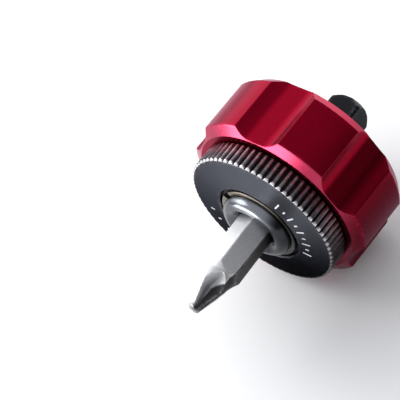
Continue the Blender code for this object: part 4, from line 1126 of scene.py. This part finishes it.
# %% [markdown]
# ## Springs
# Each coil spring stands in a hole with one end and presses on a ball or a pawl with the other. Here each is
# a copy of its working node with a spring steel finish, laid where it stands and carried by no body, and the
# node is hidden.

# %% Copy the springs
COILS = (    # node, body it stands on, body it presses on
    ("drive_ball_spring", "spindle", "drive_detent"),
    ("detent_spring", "grip", "detent"),
    ("pawl_spring_forward", "grip", "forward_pawl"),
    ("pawl_spring_reverse", "grip", "reverse_pawl"),
)


def coat(piece, finish):
    """Give a piece one finish."""
    piece.data.materials.clear()
    piece.data.materials.append(finish)


for node, still, moving in COILS:
    piece = node_copy(node, "_coil")
    coat(piece, METALS["spring_steel"])
    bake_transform(piece)
    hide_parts(node)
print(len(COILS), "springs follow what they press on")

# %% [markdown]
# ## Every piece on its body
# Each new piece rides on the body that carries it, stands in for the working node it covers, and takes its
# finish. Pieces inside that keep their working shape only get a better material.

# %% Ride, replace and coat
DRESSED = (    # piece, body, node that it replaces, material slot, finish
    (grip, "grip", "grip_body", "red_anodised", RED),
    (ring, "selector", "selector_ring", "black_anodised", BLACK),
    (spindle, "spindle", "drive_spindle", "blackened_steel", SPINDLE),
    (drive_ball, "drive_detent", "drive_ball", "machined_steel", METALS["ball_steel"]),
    (bit, "bit", "hex_bit", "tool_steel", BIT),
    (front_ring, "spindle", "front_snap_ring", "spring_steel", METALS["snap_ring_steel"]),
    (rear_ring, "spindle", "rear_snap_ring", "spring_steel", METALS["spring_steel"]),
    (washer, "spindle", "rear_washer", "machined_steel", METALS["machined_steel"]),
    *((piece, "selector", None, "black_anodised", PAINT) for piece in MARKS),
)
covered = {node for node, _, _ in COILS}
for piece, body, node, slot, finish in DRESSED:
    coat(piece, finish)
    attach(piece, body)
    if node:
        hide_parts(node)
        covered.add(node)

kept = [subpart for subpart in frame["record"]["subparts"] if subpart["node"] not in covered]
for subpart in kept:
    for held in frame["nodes"][subpart["node"]].material_slots:
        held.material = METALS[subpart["material_slot"]]
print(len(DRESSED), "pieces dressed,", len(kept), "kept inside")

# %% [markdown]
# ## Table and ground
# The tool lies on a small, almost white table, and a pale ground lies lower, where low light can pass under
# the table's edge. Both glow a little when they are looked at, also in a mirror, so they show white without
# more light on the tool. In a patch beside the tool, to its right, they don't, which paints a shadow there.

# %% Pale sheet
SHEETS = (    # name, radius, level, finish, glow
    ("table", 0.16, 0.0, "pale_sheet", (0.33, 0.33, 0.33)),
    ("ground", 4.0, -0.25, "pale_ground", (0.20, 0.20, 0.20)),
)
FLOOR_SIDES = 96
SHEET_CLOUD = 60.0
SHEET = (0.93, 0.93, 0.935)
SHEET_SHADE = (0.90, 0.90, 0.91)
SHADE_MIDDLE = (26.0, 8.0)
SHADE_REACH = (14.0, 56.0)
SEEN_RAYS = ("Is Camera Ray", "Is Glossy Ray", "Is Transmission Ray")


def sheet_finish(name, glow):
    """Matt pale sheet that is a little brighter when it is looked at, but not in a painted shadow beside the
    tool.
    """
    sheet = Finish(name, **{"Roughness": 0.8, "Specular IOR Level": 0.2, "Emission Strength": 1.0})
    path = sheet.node("ShaderNodeLightPath")
    seen = sum(Value(sheet, path.outputs[ray]) for ray in SEEN_RAYS)
    aside = sheet.x - SHADE_MIDDLE[0]
    along = sheet.back + (BACK_FACE / MM - SHADE_MIDDLE[1])
    # Painted shadow: the glow is left out in a patch beside the tool, which darkens the sheet there.
    away = sheet.step((aside * aside + along * along) ** 0.5, *SHADE_REACH)
    return sheet.set(Base_Color=sheet.mix(sheet.noise(SHEET_CLOUD, detail=3.0), SHEET_SHADE, SHEET),
                     Emission_Color=sheet.mix(seen * away, (0.0, 0.0, 0.0), glow))


for name, radius, level, sheet_name, glow in SHEETS:
    mesh = bpy.data.meshes.new(name)
    mesh.from_pydata(row_at(radius, level, full_turn(FLOOR_SIDES)).tolist(), [], [tuple(range(FLOOR_SIDES))])
    mesh.materials.append(sheet_finish(sheet_name, glow))
    new_piece(name, mesh)
    print(f"{name} {2 * radius:.2f} m across")

# %% [markdown]
# ## Light
# Metal shows what stands round it, so the lamps are placed by what they mirror in. A large one on the left
# and a high one make the bright sides, a weak one stands behind the top, and two low ones light the
# chamfers. The surroundings are pale on the left and dim on the right. Together they show a colour about as
# it is written.

# %% Lamps and surroundings
TOOL_CENTRE = Vector((0.0, 0.0, AXIS_HEIGHT))
LAMPS = (    # name, direction, distance, width, height, radiance
    ("left_lamp", (-0.92, 0.16, 0.34), 1.1, 1.2, 0.8, 1.48),
    ("upper_lamp", (-0.517, 0.396, 0.759), 1.2, 0.5, 0.5, 0.7),
    ("high_lamp", (-0.76, -0.3, 0.58), 1.2, 0.75, 0.75, 3.3),
    ("front_lamp", (-0.52, -0.85, -0.02), 1.0, 0.8, 0.3, 10.0),
    ("back_lamp", (-0.15, 0.98, -0.04), 1.0, 1.0, 0.3, 2.5),
)
LEFT_SIDE = (0.62, 0.63, 0.655)
RIGHT_SIDE = (0.10, 0.10, 0.107)

for name, direction, distance, width, height, radiance in LAMPS:
    data = bpy.data.lights.new(name, "AREA")
    data.shape = "RECTANGLE"
    data.size, data.size_y = width, height
    data.energy = radiance * pi * width * height
    lamp = new_piece(name, data)
    direction = Vector(direction).normalized()
    lamp.location = TOOL_CENTRE + direction * distance
    lamp.rotation_euler = direction.to_track_quat("Z", "Y").to_euler()

world = bpy.data.worlds.new("studio")
world.use_nodes = True
room = Tree(world.node_tree)
across, _, high = room.split(room.add("ShaderNodeTexCoord", output="Generated"))
colour = room.mix(room.step(across - high * 0.5, -0.2, 0.95), LEFT_SIDE, RIGHT_SIDE)
surroundings = room.add("ShaderNodeBackground", sockets={"Color": colour})
room.node("ShaderNodeOutputWorld", sockets={"Surface": surroundings})
bpy.context.scene.world = world
bpy.context.scene.view_settings.view_transform = "Standard"
print(len(LAMPS), "lamps")

# %% [markdown]
# ## Camera
# The picture was taken with a long lens from above the bit's right side, with the camera rolled. The view
# is set by its direction, roll and scale, and by one known point: the middle of the ring's front edge.

# %% Set the camera
PHOTO_SIDE = 400
SENSOR = 36.0
VIEW_AZIMUTH = radians(52.52)
VIEW_ELEVATION = radians(49.35)
VIEW_ROLL = radians(-20.83)
VIEW_DISTANCE = 420.0
PIXELS_PER_MM = 5.82
RING_PIXEL = (261.1, 220.2)

towards = Vector((sin(VIEW_AZIMUTH) * cos(VIEW_ELEVATION), -cos(VIEW_AZIMUTH) * cos(VIEW_ELEVATION),
                  sin(VIEW_ELEVATION)))
level_right = Vector((cos(VIEW_AZIMUTH), sin(VIEW_AZIMUTH), 0.0))
level_up = towards.cross(level_right)
right = level_right * cos(VIEW_ROLL) + level_up * sin(VIEW_ROLL)
up = towards.cross(right)
ring_middle = LAY_DOWN @ Vector((0.0, 0.0, ring_front * MM))
focal = PIXELS_PER_MM * VIEW_DISTANCE
off_centre = Vector((RING_PIXEL[0] - PHOTO_SIDE / 2, PHOTO_SIDE / 2 - RING_PIXEL[1], -focal))
aim = off_centre.rotation_difference(Vector((0.0, 0.0, -1.0))).to_matrix()

camera_data = bpy.data.cameras.new("camera")
camera_data.sensor_width = SENSOR
camera_data.lens = SENSOR * focal / PHOTO_SIDE
camera_data.clip_start = 0.01
camera = new_piece("camera", camera_data)
turn = Matrix((right, up, towards)).transposed() @ aim
camera.matrix_world = Matrix.Translation(ring_middle + towards * VIEW_DISTANCE * MM) @ turn.to_4x4()
bpy.context.scene.camera = camera
print(f"lens {camera_data.lens:.0f} mm, {VIEW_DISTANCE:.0f} mm from the ring")
